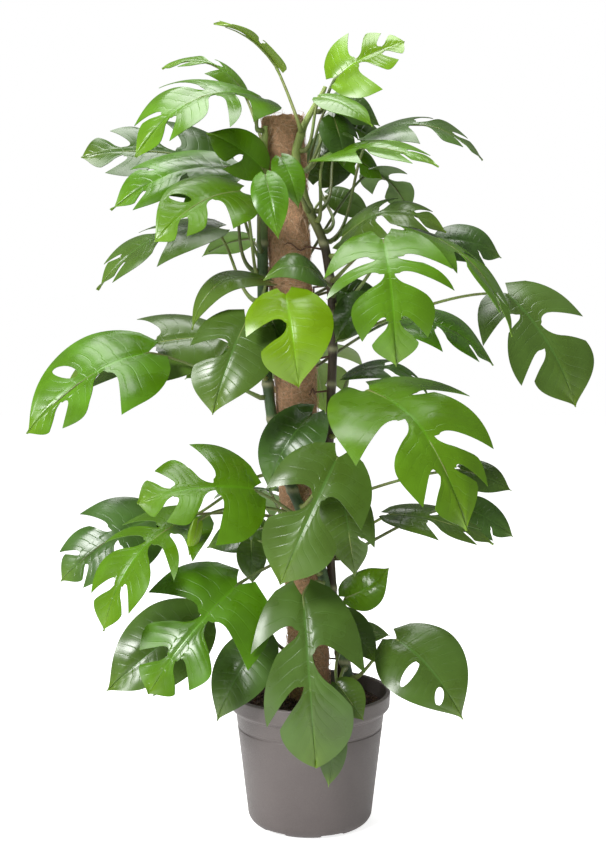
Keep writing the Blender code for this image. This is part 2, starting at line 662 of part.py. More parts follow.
# Each leaf: name, vine, height of its node above the rim, then where the blade starts (bearing,
# distance out from the pole's face, height above the rim), the run from there to the tip, and the
# way the upper side looks.
LEAVES = [
    # the crown
    Leaf("leaf_01", "right", 0.58, -100, 0.000, 0.645, (-0.060, -0.040, 0.033), (0.3, -0.2, 0.93),
         half_width=0.42, fold=0.35, right=TWO, left=TWO, shade="young"),
    Leaf("leaf_02", "right", 0.60, -13, 0.034, 0.634, (0.070, 0.000, 0.036), (-0.2, -0.85, 0.5),
         half_width=0.52, right=GAPING_TWO, left=GAPING_TWO, shade="young"),
    Leaf("leaf_03", "right", 0.56, -37, 0.027, 0.612, (0.050, -0.030, -0.033), (0.2, -0.6, 0.75),
         half_width=0.30, right=WHOLE, left=WHOLE, shade="fresh"),
    # upper left
    Leaf("leaf_04", "back", 0.55, 122, 0.059, 0.638, (-0.085, 0.000, 0.020), (-0.3, -0.40, 0.85),
         half_width=0.30, arch=0.22, right=GAPING, left=GAPING_TWO, shade="fresh"),
    Leaf("leaf_05", "front", 0.58, -129, 0.015, 0.613, (-0.116, -0.060, -0.067), (-0.15, -0.6, 0.78),
         half_width=0.40, arch=0.20, right=TWO, left=FINGERS, shade="fresh"),
    Leaf("leaf_06", "back", 0.44, 149, 0.055, 0.550, (-0.146, -0.020, 0.008), (0.0, -0.75, 0.65),
         half_width=0.38, arch=0.12, right=GAPING_TWO, left=WIDE_TWO, shade="shaded"),
    Leaf("leaf_07", "front", 0.44, -161, 0.038, 0.545, (-0.116, -0.030, -0.046), (-0.1, -0.7, 0.7),
         half_width=0.33, arch=0.12, right=ONE, left=TWO, shade="fresh"),
    Leaf("leaf_08", "front", 0.43, -125, 0.056, 0.516, (-0.079, -0.050, -0.053), (-0.1, -0.75, 0.65),
         half_width=0.42, arch=0.15, right=PIERCED, left=GAPING_TWO, shade="fresh"),
    Leaf("leaf_09", "front", 0.46, -101, 0.075, 0.528, (0.013, -0.020, -0.062), (0.0, -0.95, 0.3),
         half_width=0.27, arch=0.12, right=WHOLE, left=WHOLE, shade="fresh"),
    Leaf("leaf_10", "front", 0.505, -120, 0.023, 0.541, (-0.055, -0.005, 0.034), (-0.2, -0.8, 0.6),
         half_width=0.42, arch=0.12, right=WHOLE, left=LOW_ONE, shade="fresh"),
    Leaf("leaf_11", "right", 0.50, -93, 0.035, 0.549, (0.017, -0.010, -0.050), (0.2, -0.9, 0.4),
         half_width=0.30, arch=0.15, right=WHOLE, left=WHOLE, shade="fresh"),
    Leaf("leaf_12", "front", 0.41, 173, 0.056, 0.485, (-0.120, -0.010, -0.064), (-0.35, -0.55, 0.75),
         half_width=0.30, arch=0.15, right=TWO, left=TWO, shade="mature"),
    Leaf("leaf_13", "back", 0.40, 114, 0.086, 0.480, (-0.053, 0.010, -0.020), (0.0, 0.5, 0.8),
         half_width=0.35, right=WHOLE, left=WHOLE, shade="fresh"),
    # upper right
    Leaf("leaf_14", "right", 0.47, 12, 0.072, 0.583, (0.113, -0.010, -0.029), (0.15, -0.4, 0.9),
         half_width=0.40, arch=0.20, right=GAPING_TWO, left=WIDE_TWO, shade="mature"),
    Leaf("leaf_15", "right", 0.49, -45, 0.034, 0.553, (0.108, -0.060, -0.018), (0.1, -0.45, 0.9),
         half_width=0.32, arch=0.12, right=TWO, left=TWO, shade="fresh"),
    Leaf("leaf_16", "back", 0.43, 33, 0.086, 0.548, (0.043, 0.020, -0.042), (0.4, 0.65, 0.6),
         half_width=0.42, arch=0.20, right=GAPING, left=GAPING, shade="mature"),
    Leaf("leaf_17", "right", 0.455, -19, 0.037, 0.475, (0.102, -0.020, 0.002), (0.0, -0.55, 0.85),
         half_width=0.38, arch=0.25, right=TWO, left=TWO, shade="mature"),
    Leaf("leaf_18", "right", 0.43, -50, 0.119, 0.466, (0.010, -0.040, -0.119), (0.0, -0.85, 0.5),
         half_width=0.46, arch=0.20, right=FINGERS, left=FINGERS, shade="fresh"),
    Leaf("leaf_19", "right", 0.405, -18, 0.107, 0.482, (0.096, -0.040, -0.109), (0.55, -0.3, 0.78),
         half_width=0.30, arch=0.15, right=TWO, left=TWO, shade="fresh"),
    Leaf("leaf_20", "back", 0.40, 7, 0.136, 0.473, (0.067, 0.010, -0.018), (0.1, -0.8, 0.6),
         half_width=0.38, arch=0.15, right=ONE, left=WHOLE, shade="mature"),
    Leaf("leaf_21", "right", 0.37, -3, 0.200, 0.416, (0.066, -0.030, -0.114), (0.2, -0.85, 0.45),
         half_width=0.42, arch=0.12, right=FAR_TWO, left=GAPING, shade="mature"),
    Leaf("leaf_22", "back", 0.33, 10, 0.091, 0.392, (0.098, -0.010, -0.050), (0.2, -0.5, 0.85),
         half_width=0.35, arch=0.15, right=TWO, left=WHOLE, shade="fresh"),
    Leaf("leaf_23", "right", 0.375, -25, 0.060, 0.412, (-0.030, 0.000, -0.045), (0.0, -0.9, 0.4),
         half_width=0.38, right=WHOLE, left=WHOLE, shade="shaded"),
    # middle left
    Leaf("leaf_24", "front", 0.31, -165, 0.129, 0.357, (-0.116, -0.040, -0.079), (-0.25, -0.75, 0.6),
         half_width=0.40, arch=0.14, right=PIERCED, left=GAPING_TWO, shade="fresh"),
    Leaf("leaf_25", "back", 0.30, 168, 0.066, 0.372, (-0.150, -0.005, -0.052), (-0.1, -0.6, 0.8),
         half_width=0.34, right=GAPING_TWO, left=TWO, arch=0.12, shade="mature"),
    Leaf("leaf_26", "front", 0.40, -118, 0.033, 0.430, (-0.070, -0.020, -0.050), (-0.45, -0.55, 0.7),
         half_width=0.28, arch=0.30, right=WHOLE, left=WHOLE, shade="mature"),
    Leaf("leaf_27", "front", 0.33, -119, 0.068, 0.390, (-0.032, -0.030, -0.091), (-0.1, -0.9, 0.35),
         half_width=0.42, arch=0.12, right=GAPING, left=WHOLE, shade="mature"),
    Leaf("leaf_28", "front", 0.34, -104, 0.056, 0.388, (0.026, -0.010, -0.060), (0.1, -0.93, 0.35),
         half_width=0.34, right=WHOLE, left=WHOLE, shade="mature"),
    Leaf("leaf_29", "front", 0.36, -93, 0.068, 0.414, (0.013, -0.020, -0.089), (0.0, -0.9, 0.45),
         half_width=0.46, arch=0.18, right=GAPING, left=WHOLE, shade="young"),
    Leaf("leaf_30", "right", 0.415, -64, 0.049, 0.432, (-0.057, -0.015, -0.004), (0.0, -0.7, 0.7),
         half_width=0.36, arch=0.30, right=WHOLE, left=WHOLE, shade="mature"),
    # middle right
    Leaf("leaf_31", "right", 0.30, -27, 0.042, 0.335, (0.079, 0.000, -0.024), (0.0, -0.4, 0.9),
         half_width=0.25, arch=0.25, right=TWO, left=TWO, shade="mature"),
    Leaf("leaf_32", "right", 0.27, -51, 0.092, 0.322, (0.086, -0.080, -0.126), (0.15, -0.7, 0.7),
         half_width=0.42, arch=0.22, right=WIDE_TWO, left=THREE, shade="fresh"),
    Leaf("leaf_33", "right", 0.20, -11, 0.146, 0.237, (0.050, -0.010, -0.020), (0.0, -0.85, 0.5),
         half_width=0.33, right=WHOLE, left=WHOLE, shade="mature"),
    Leaf("leaf_34", "right", 0.15, -29, 0.081, 0.194, (0.101, -0.020, -0.028), (0.1, -0.5, 0.85),
         half_width=0.24, right=TWO, left=TWO, shade="mature"),
    Leaf("leaf_35", "right", 0.14, -7, 0.144, 0.198, (0.054, 0.000, -0.032), (0.1, -0.85, 0.5),
         half_width=0.33, right=ONE, left=WHOLE, shade="mature"),
    # front of the pole
    Leaf("leaf_36", "front", 0.24, -73, 0.030, 0.295, (-0.043, 0.000, -0.080), (-0.35, -0.85, 0.35),
         half_width=0.38, arch=0.20, right=WHOLE, left=WHOLE, shade="mature"),
    Leaf("leaf_37", "front", 0.20, -70, 0.088, 0.257, (-0.055, -0.030, -0.119), (0.0, -0.9, 0.4),
         half_width=0.36, arch=0.08, right=GAPING, left=GAPING, shade="mature"),
    Leaf("leaf_38", "front", 0.16, -56, 0.050, 0.220, (0.014, -0.015, -0.085), (0.1, -0.95, 0.3),
         half_width=0.32, right=WHOLE, left=ONE, shade="mature"),
    Leaf("leaf_39", "right", 0.07, 0, 0.020, 0.098, (0.045, 0.000, 0.032), (-0.3, -0.8, 0.4),
         half_width=0.42, arch=-0.2, right=WHOLE, left=WHOLE, shade="fresh"),
    # lower left
    Leaf("leaf_40", "front", 0.19, -118, 0.076, 0.224, (-0.110, -0.030, -0.010), (-0.05, -0.7, 0.7),
         half_width=0.54, right=GAPING_TWO, left=GAPING_TWO, shade="fresh"),
    Leaf("leaf_41", "front", 0.23, -148, 0.108, 0.194, (-0.080, -0.050, -0.104), (-0.35, -0.65, 0.68),
         half_width=0.36, arch=0.20, right=FINGERS, left=FINGERS, shade="fresh"),
    Leaf("leaf_42", "back", 0.17, -173, 0.135, 0.184, (-0.090, -0.020, -0.061), (-0.2, -0.85, 0.5),
         half_width=0.42, arch=0.15, right=TWO, left=TWO, shade="mature"),
    Leaf("leaf_43", "front", 0.15, -130, 0.081, 0.128, (-0.085, -0.040, -0.100), (-0.1, -0.85, 0.5),
         half_width=0.46, right=GAPING_TWO, left=GAPING_TWO, shade="fresh"),
    Leaf("leaf_44", "back", 0.08, -165, 0.092, 0.083, (-0.093, -0.030, -0.069), (-0.1, -0.9, 0.4),
         half_width=0.36, right=WHOLE, left=ONE, shade="mature"),
    # over the pot's rim
    Leaf("leaf_45", "front", 0.12, -91, RIM_RADIUS - 0.008, 0.120, (0.012, -0.035, -0.159), (0.0, -0.9, 0.4),
         half_width=0.32, arch=0.12, right=FAR_TWO, left=GAPING, sweep=0.16, shade="mature"),
    Leaf("leaf_46", "front", 0.05, -74, RIM_RADIUS - 0.005, 0.033, (0.025, -0.010, -0.034), (0.1, -0.95, 0.2),
         half_width=0.42, right=WHOLE, left=WHOLE, shade="mature"),
    Leaf("leaf_47", "front", 0.03, -79, RIM_RADIUS + 0.008, -0.007, (-0.005, -0.005, -0.057), (0.2, -0.95, 0.2),
         half_width=0.26, right=WHOLE, left=WHOLE, shade="mature"),
    Leaf("leaf_48", "front", 0.07, -56, 0.037, 0.092, (0.038, -0.020, -0.047), (0.1, -0.85, 0.5),
         half_width=0.30, right=WHOLE, left=WHOLE, shade="shaded"),
    Leaf("leaf_49", "front", 0.02, -38, RIM_RADIUS + 0.006, 0.070, (0.063, -0.040, -0.070), (0.15, -0.85, 0.5),
         half_width=0.44, arch=0.20, right=PIERCED_TWO, left=WHOLE, shade="mature"),
    Leaf("leaf_50", "back", 0.03, -130, RIM_RADIUS - 0.037, 0.066, (-0.045, -0.020, -0.078), (-0.3, -0.9, 0.3),
         half_width=0.34, arch=0.15, right=WHOLE, left=WHOLE, shade="mature"),
    # behind the pole
    Leaf("leaf_51", "back", 0.30, 80, 0.070, 0.360, (0.020, 0.090, -0.080), (0.0, 0.7, 0.7),
         half_width=0.42, arch=0.15, right=WIDE_TWO, left=TWO, shade="mature"),
    Leaf("leaf_52", "back", 0.14, 110, 0.080, 0.200, (-0.030, 0.100, -0.060), (-0.1, 0.6, 0.8),
         half_width=0.42, arch=0.15, right=TWO, left=WIDE_TWO, shade="mature"),
]


make_pot()
make_soil()
make_pole()
make_vines()
for leaf in LEAVES:
    make_leaf(leaf)
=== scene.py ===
"""A mini monstera climbing a coir pole in a plastic pot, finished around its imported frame.

Metres, +Z up. The origin is under the pot, and -Y is the plant's front. Heights of the plant are
measured from the pot's rim.
"""

import math
import random

import bmesh
import bpy
from bpy.props import FloatProperty, FloatVectorProperty, IntProperty, PointerProperty
from mathutils import Matrix, Quaternion, Vector, noise


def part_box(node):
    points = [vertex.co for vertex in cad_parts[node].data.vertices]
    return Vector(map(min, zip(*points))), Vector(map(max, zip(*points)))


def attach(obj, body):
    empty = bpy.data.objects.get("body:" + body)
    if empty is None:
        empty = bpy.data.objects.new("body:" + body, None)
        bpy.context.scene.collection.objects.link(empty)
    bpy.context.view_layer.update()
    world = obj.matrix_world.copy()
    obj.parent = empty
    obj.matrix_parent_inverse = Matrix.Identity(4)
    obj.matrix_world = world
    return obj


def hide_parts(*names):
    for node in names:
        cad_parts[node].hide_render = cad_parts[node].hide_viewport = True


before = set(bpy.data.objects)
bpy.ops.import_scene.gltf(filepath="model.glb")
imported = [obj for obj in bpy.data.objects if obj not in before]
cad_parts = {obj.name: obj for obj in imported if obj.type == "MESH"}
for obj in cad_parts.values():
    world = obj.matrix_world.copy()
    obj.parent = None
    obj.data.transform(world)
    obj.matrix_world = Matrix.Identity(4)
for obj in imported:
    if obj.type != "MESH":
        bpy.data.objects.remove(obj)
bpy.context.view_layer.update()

bl_info = {
    "name": "Potted Mini Monstera",
    "version": (1, 0, 0),
    "blender": (4, 5, 0),
    "location": "3D View > Sidebar > Plant",
    "description": "Finishes a potted mini monstera on a coir pole around its packed frame",
    "category": "Add Mesh",
}

POT_HEIGHT = round(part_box("pot")[1].z, 4)
RIM_RADIUS = round(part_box("pot")[1].x, 4)
POLE_RADIUS = 0.0225
POLE_LEAN = 2.7  # degrees, towards -X
GAP = 0.0003
FULL_TURN = 2 * math.pi


# ---- Settings -----------------------------------------------------------------------------------


def length(name, description, default, least=0.0):
    return FloatProperty(
        name=name, description=description, default=default, min=least, unit="LENGTH", precision=4
    )


def colour(name, description, default):
    return FloatVectorProperty(
        name=name, description=description, default=default, min=0, max=1, size=3, subtype="COLOR"
    )


def count(name, description, default):
    return IntProperty(name=name, description=description, default=default, min=0)


class PotSettings(bpy.types.PropertyGroup):
    height: length("Height", "From the underside to the top of the rim", POT_HEIGHT)
    rim_radius: length("Rim radius", "Radius over the lip", RIM_RADIUS)
    lip_height: length("Lip height", "How far the lip comes down the wall", 0.022)
    lip_step: length("Lip step", "How far the lip stands out from the wall", 0.0065)
    base_radius: length("Base radius", "Radius of the wall at the foot", 0.066)
    foot_round: length("Foot round", "Radius of the rounded foot", 0.012)
    wall: length("Wall", "Thickness of the wall", 0.0022)
    groove: length("Groove", "Depth of the groove under the lip", 0.0008)
    plastic: colour("Plastic", "Colour of the moulded plastic", (0.155, 0.132, 0.127))


class SoilSettings(bpy.types.PropertyGroup):
    drop: length("Drop", "From the rim down to the soil at the wall", 0.015)
    mound: length("Mound", "How much higher the soil is in the middle", 0.007)
    crumbs: count("Crumbs", "Loose crumbs and bark on the soil", 1500)
    dark: colour("Dark soil", "Colour of the damp peat", (0.028, 0.014, 0.010))
    light: colour("Light soil", "Colour of the dry bark", (0.16, 0.085, 0.05))


class PoleSettings(bpy.types.PropertyGroup):
    radius: length("Radius", "Radius of the coir", POLE_RADIUS)
    top: length("Top", "Top of the coir above the rim", 0.597)
    core_radius: length("Core radius", "Radius of the stake in the coir", 0.008)
    fibres: count("Fibres", "Loose fibres on the coir", 1500)
    fibre_radius: length("Fibre radius", "Half the thickness of a fibre", 0.00028)
    brown: colour("Coir brown", "Colour of the coir", (0.74, 0.43, 0.24))
    straw: colour("Coir straw", "Colour of its lighter fibres", (0.95, 0.74, 0.50))
    stake: colour("Stake", "Colour of the stake's wood", (0.35, 0.24, 0.14))


class VineSettings(bpy.types.PropertyGroup):
    joint_spacing: length("Joint spacing", "From one joint of the stem to the next", 0.036, 0.01)
    joint_swell: FloatProperty(
        name="Joint swell", description="How much thicker a joint is, as a share", default=0.16
    )
    green: colour("Green stem", "Colour of a young stem", (0.045, 0.085, 0.028))
    brown: colour("Brown stem", "Colour of an old stem", (0.05, 0.036, 0.022))
    ring: colour("Ring", "Colour of the rings at the joints", (0.30, 0.30, 0.17))
    tip: colour("Tip", "Colour of a stem's newest growth", (0.32, 0.42, 0.11))
    root: colour("Root", "Colour of the aerial roots", (0.12, 0.06, 0.035))


class LeafSettings(bpy.types.PropertyGroup):
    thickness: length("Thickness", "Thickness of a blade", 0.0006)
    petiole_radius: length("Petiole radius", "Radius of a petiole", 0.0017)
    quilting: FloatProperty(
        name="Quilting", description="Rise of the blade between its veins, as a share", default=0.0022
    )
    waves: FloatProperty(
        name="Waves", description="Waves of the margin, as a share of the length", default=0.010
    )
    young: colour("Young", "Colour of a new leaf", (0.125, 0.27, 0.004))
    fresh: colour("Fresh", "Colour of a half-grown leaf", (0.066, 0.185, 0.003))
    mature: colour("Mature", "Colour of a full-grown leaf", (0.050, 0.115, 0.018))
    shaded: colour("Shaded", "Colour of a leaf in shade", (0.028, 0.074, 0.008))


class StageSettings(bpy.types.PropertyGroup):
    floor: colour("Floor", "Colour of the floor", (0.9, 0.9, 0.9))
    key_power: FloatProperty(
        name="Key light", description="Power of the light from the upper left", default=62, unit="POWER"
    )
    top_power: FloatProperty(
        name="Top light", description="Power of the soft light overhead", default=46, unit="POWER"
    )
    sky: FloatProperty(name="Sky", description="Strength of the even light", default=0.20)
    glow: FloatProperty(name="Floor glow", description="Strength of the floor's own light", default=0.3)


SETTINGS = {
    "plant_pot": PotSettings,
    "plant_soil": SoilSettings,
    "plant_pole": PoleSettings,
    "plant_vines": VineSettings,
    "plant_leaves": LeafSettings,
    "plant_stage": StageSettings,
}


# ---- Mesh helpers -------------------------------------------------------------------------------


def as_piece(name, mesh, materials=()):
    obj = bpy.data.objects.new(name, mesh)
    bpy.context.scene.collection.objects.link(obj)
    for finish in materials:
        mesh.materials.append(finish)
    return obj


def piece_from(name, bm, materials=(), smooth=40):
    mesh = bpy.data.meshes.new(name)
    bm.to_mesh(mesh)
    bm.free()
    obj = as_piece(name, mesh, materials)
    if smooth:
        mesh.shade_smooth()
        mesh.set_sharp_from_angle(angle=math.radians(smooth))
    return obj


def take_mesh(obj):
    """The object's mesh with its modifiers applied; the object itself is removed."""
    graph = bpy.context.evaluated_depsgraph_get()
    mesh = bpy.data.meshes.new_from_object(obj.evaluated_get(graph))
    bpy.data.objects.remove(obj)
    return mesh


def turned(profile, steps):
    """A bmesh of (radius, height) points, turned about Z into a closed shell."""
    bm = bmesh.new()
    verts = [bm.verts.new((radius, 0, height)) for radius, height in profile]
    edges = [bm.edges.new(pair) for pair in zip(verts, verts[1:])]
    bmesh.ops.spin(
        bm, geom=verts + edges, axis=(0, 0, 1), angle=FULL_TURN, steps=steps, use_merge=True
    )
    bmesh.ops.remove_doubles(bm, verts=bm.verts, dist=0.000002)
    bmesh.ops.recalc_face_normals(bm, faces=bm.faces)
    return bm


def arc(centre, radius, start, end, steps):
    """Points of (radius, height) on an arc, angles in degrees from +X."""
    turns = [math.radians(start + (end - start) * i / steps) for i in range(steps + 1)]
    return [(centre[0] + radius * math.cos(a), centre[1] + radius * math.sin(a)) for a in turns]


def tubes_mesh(name, runs, sides):
    """One mesh of closed round tubes. Each run is a list of (point, radius)."""
    curve = bpy.data.curves.new(name, "CURVE")
    curve.dimensions = "3D"
    curve.bevel_depth = 1.0
    curve.bevel_resolution = sides
    curve.use_fill_caps = True
    for run in runs:
        spline = curve.splines.new("POLY")
        spline.points.add(len(run) - 1)
        for place, (point, radius) in zip(spline.points, run):
            place.co = (*point, 1)
            place.radius = radius
    guide = bpy.data.objects.new(name, curve)
    bpy.context.scene.collection.objects.link(guide)
    mesh = take_mesh(guide)
    bpy.data.curves.remove(curve)
    bm = bmesh.new()
    bm.from_mesh(mesh)
    bmesh.ops.remove_doubles(bm, verts=bm.verts, dist=0.000002)
    bmesh.ops.recalc_face_normals(bm, faces=bm.faces)
    bm.to_mesh(mesh)
    bm.free()
    mesh.materials.clear()
    mesh.shade_smooth()
    return mesh


def joined(obj, others):
    """Joins others into obj, which keeps its name."""
    with bpy.context.temp_override(
        active_object=obj, object=obj, selected_objects=[obj, *others],
        selected_editable_objects=[obj, *others],
    ):
        bpy.ops.object.join()
    return obj


def mark(mesh, name, values):
    """A number for each point of the mesh, which a material can read."""
    layer = mesh.attributes.new(name, "FLOAT", "POINT")
    layer.data.foreach_set("value", values)


# ---- Material helpers ---------------------------------------------------------------------------


def add_node(tree, kind, settings=None, **inputs):
    """A node; an input is a number, a colour, or another node's output."""
    made = tree.nodes.new(kind)
    for name, value in (settings or {}).items():
        setattr(made, name, value)
    for name, value in inputs.items():
        socket = made.inputs[int(name[1:]) if name[1:].isdigit() else name.replace("_", " ")]
        if isinstance(value, bpy.types.NodeSocket):
            tree.links.new(value, socket)
        else:
            socket.default_value = value
    return made


def maths(tree, operation, first, second=0.0):
    return add_node(tree, "ShaderNodeMath", {"operation": operation}, i0=first, i1=second).outputs[0]


def off_middle(tree, value):
    """How far a value is from a half, from 0 there to 1 at either end."""
    return maths(tree, "MULTIPLY", maths(tree, "ABSOLUTE", maths(tree, "SUBTRACT", value, 0.5)), 2.0)


def attribute(tree, name):
    """The number of this name that the mesh carries at each point."""
    return add_node(tree, "ShaderNodeAttribute", {"attribute_name": name}).outputs["Fac"]


def ramp(tree, value, low, high, start=0.0, end=1.0):
    """Runs from start to end, smoothly, as value goes from low to high."""
    made = add_node(
        tree, "ShaderNodeMapRange", {"interpolation_type": "SMOOTHSTEP"},
        Value=value, From_Min=low, From_Max=high, To_Min=start, To_Max=end,
    )
    return made.outputs[0]


def mixed(tree, share, first, second):
    made = tree.nodes.new("ShaderNodeMix")
    made.data_type = "RGBA"
    for index, value in ((0, share), (6, first), (7, second)):
        if isinstance(value, bpy.types.NodeSocket):
            tree.links.new(value, made.inputs[index])
        else:
            made.inputs[index].default_value = value if index == 0 else (*value, 1)
    return made.outputs[2]


def new_group(name, inputs, outputs):
    """A shader node group with float inputs, given as name to default, and its output sockets."""
    group = bpy.data.node_groups.new(name, "ShaderNodeTree")
    for label, default in inputs.items():
        socket = group.interface.new_socket(name=label, in_out="INPUT", socket_type="NodeSocketFloat")
        socket.default_value = default
    for label in outputs:
        group.interface.new_socket(name=label, in_out="OUTPUT", socket_type="NodeSocketFloat")
    return group, group.nodes.new("NodeGroupInput"), group.nodes.new("NodeGroupOutput")


def grain_group():
    """Noise in the piece's own space: a coarse value and a fine one."""
    group, given, made = new_group("grain", {"Coarse": 60.0, "Fine": 600.0}, ("Coarse", "Fine"))
    place = add_node(group, "ShaderNodeTexCoord").outputs["Object"]
    for label, detail in (("Coarse", 3.0), ("Fine", 2.0)):
        cloud = add_node(
            group, "ShaderNodeTexNoise", Vector=place, Scale=given.outputs[label], Detail=detail
        )
        group.links.new(ramp(group, cloud.outputs[0], 0.3, 0.7), made.inputs[label])
    return group


def blade_group():
    """A blade's veins, from its UV map: along the midrib in U, and from side to side in V."""
    group, given, made = new_group(
        "blade_veins", {"Laterals": 12.0, "Fineness": 0.10}, ("Veins", "Midrib", "Height")
    )
    uv = add_node(group, "ShaderNodeUVMap", {"uv_map": "blade"}).outputs[0]
    parts = add_node(group, "ShaderNodeSeparateXYZ", Vector=uv)
    out = off_middle(group, parts.outputs[1])
    rows = maths(group, "FRACT", maths(group, "MULTIPLY", parts.outputs[0], given.outputs["Laterals"]))
    line = ramp(group, off_middle(group, rows), 0.0, given.outputs["Fineness"], 1.0, 0.0)
    lateral = maths(group, "MULTIPLY", line, ramp(group, out, 0.45, 1.0, 1.0, 0.0))
    midrib = ramp(group, out, 0.012, 0.045, 1.0, 0.0)
    veins = maths(group, "MAXIMUM", lateral, midrib)
    group.links.new(veins, made.inputs["Veins"])
    group.links.new(midrib, made.inputs["Midrib"])
    group.links.new(maths(group, "SUBTRACT", 1.0, veins), made.inputs["Height"])
    return group


def placed(tree, group, **values):
    return add_node(tree, "ShaderNodeGroup", {"node_tree": group}, **values)


def new_material(name, roughness, **numbers):
    """A material and its tree and shader; numbers are set on the shader's own sockets."""
    made = bpy.data.materials.new(name)
    made.use_nodes = True
    shader = made.node_tree.nodes["Principled BSDF"]
    shader.inputs["Roughness"].default_value = roughness
    for label, value in numbers.items():
        shader.inputs[label.replace("_", " ")].default_value = value
    return made, made.node_tree, shader


def bump(tree, shader, height, distance, strength=1.0):
    made = add_node(tree, "ShaderNodeBump", Height=height, Distance=distance, Strength=strength)
    tree.links.new(made.outputs[0], shader.inputs["Normal"])


def scaled(shade, by):
    return tuple(min(1.0, part * by) for part in shade)


def grained_material(name, first, second, roughness, coarse, fine, height, **numbers):
    """Two colours mixed by coarse noise, with painted shade darkening the pits of a fine grain, and that
    grain's relief.
    """
    made, tree, shader = new_material(name, roughness, **numbers)
    grain = placed(tree, GROUPS["grain"], Coarse=coarse, Fine=fine)
    base = mixed(tree, grain.outputs["Coarse"], first, second)
    # Painted shade: the colour darkens in the pits of the fine grain.
    painted_pit_shade = maths(tree, "MULTIPLY", grain.outputs["Fine"], 0.45)
    tree.links.new(mixed(tree, painted_pit_shade, base, scaled(first, 0.45)), shader.inputs["Base Color"])
    rough = ramp(tree, grain.outputs["Fine"], 0, 1, roughness - 0.06, roughness + 0.06)
    tree.links.new(rough, shader.inputs["Roughness"])
    bump(tree, shader, grain.outputs["Fine"], height)
    return made


def stem_material(name, skin, settings):
    """A stem's skin, with pale rings where its joints are."""
    made, tree, shader = new_material(name, 0.42, Specular_IOR_Level=0.4)
    grain = placed(tree, GROUPS["grain"], Coarse=45.0, Fine=900.0)
    base = mixed(tree, grain.outputs["Coarse"], scaled(skin, 0.75), scaled(skin, 1.5))
    ring = attribute(tree, "ring")
    base = mixed(tree, ring, base, tuple(settings.ring))
    new = attribute(tree, "new")
    tree.links.new(mixed(tree, new, base, tuple(settings.tip)), shader.inputs["Base Color"])
    bump(tree, shader, grain.outputs["Fine"], 0.0003)
    return made


def blade_material(name, shade, under):
    """A blade's skin: mottled, with paler veins, a yellower tip, and a gloss that varies."""
    made, tree, shader = new_material(
        name, 0.42 if under else 0.30, Specular_IOR_Level=0.25 if under else 0.5
    )
    grain = placed(tree, GROUPS["grain"], Coarse=28.0, Fine=1500.0)
    veins = placed(tree, GROUPS["blade"], Laterals=12.0, Fineness=0.13)
    tone = attribute(tree, "tone")
    tip = attribute(tree, "tip")
    if under:
        shade = tuple(0.55 * part + 0.45 * pale for part, pale in zip(shade, (0.20, 0.32, 0.10)))
    dark, light = scaled(shade, 0.78), scaled(shade, 1.25)
    base = mixed(tree, grain.outputs["Coarse"], dark, light)
    warmer = (shade[0] * 1.9, shade[1] * 1.35, shade[2] * 0.7)
    base = mixed(tree, maths(tree, "MULTIPLY", tone, 0.5), base, warmer)
    base = mixed(tree, maths(tree, "MULTIPLY", tip, 0.5), base, (0.22, 0.36, 0.02))
    line = (0.20, 0.36, 0.08) if under else scaled(shade, 1.6)
    base = mixed(tree, maths(tree, "MULTIPLY", veins.outputs["Veins"], 0.16), base, line)
    base = mixed(tree, maths(tree, "MULTIPLY", veins.outputs["Midrib"], 0.55), base, line)
    tree.links.new(base, shader.inputs["Base Color"])
    rough = 0.42 if under else 0.24
    gloss = ramp(tree, grain.outputs["Coarse"], 0, 1, rough, rough + 0.10)
    tree.links.new(gloss, shader.inputs["Roughness"])
    pores = maths(tree, "MULTIPLY", grain.outputs["Fine"], 0.04)
    bump(tree, shader, maths(tree, "ADD", pores, veins.outputs["Height"]), 0.0003, 0.5)
    return made


def petiole_material():
    made, tree, shader = new_material("petiole_skin", 0.38, Specular_IOR_Level=0.45)
    grain = placed(tree, GROUPS["grain"], Coarse=50.0, Fine=900.0)
    tone = attribute(tree, "tone")
    base = mixed(tree, tone, (0.065, 0.110, 0.028), (0.26, 0.36, 0.09))
    base = mixed(tree, maths(tree, "MULTIPLY", grain.outputs["Coarse"], 0.35), base, (0.16, 0.085, 0.04))
    tree.links.new(base, shader.inputs["Base Color"])
    bump(tree, shader, grain.outputs["Fine"], 0.0002)
    return made


GROUPS = {}


# ---- Pot ----------------------------------------------------------------------------------------

NOTCHES = 6
FIRST_NOTCH = -67  # bearing in degrees of the notch nearest the front
NOTCH_SIZE = Vector((0.024, 0.027, 0.008))
DRAIN_RADIUS = 0.0045
FLOOR_THICKNESS = 0.0055
LIP_TOP_WIDTH = 0.0045
LIP_INNER_ROUND = 0.002
LIP_OUTER_ROUND = 0.0022
LIP_DRAFT = 0.0006
LIP_FOOT_ROUND = 0.0012
GROOVE = ((0.0118, 0), (0.0124, 0.35), (0.0130, 1), (0.0150, 1), (0.0156, 0.35), (0.0162, 0))


def wall_radius(pot, height):
    """Outer radius of the pot's wall, which tapers straight from the lip's foot to the base."""
    share = (height - pot.foot_round) / (pot.height - pot.lip_height - pot.foot_round)
    return pot.base_radius + (pot.rim_radius - pot.lip_step - pot.base_radius) * share


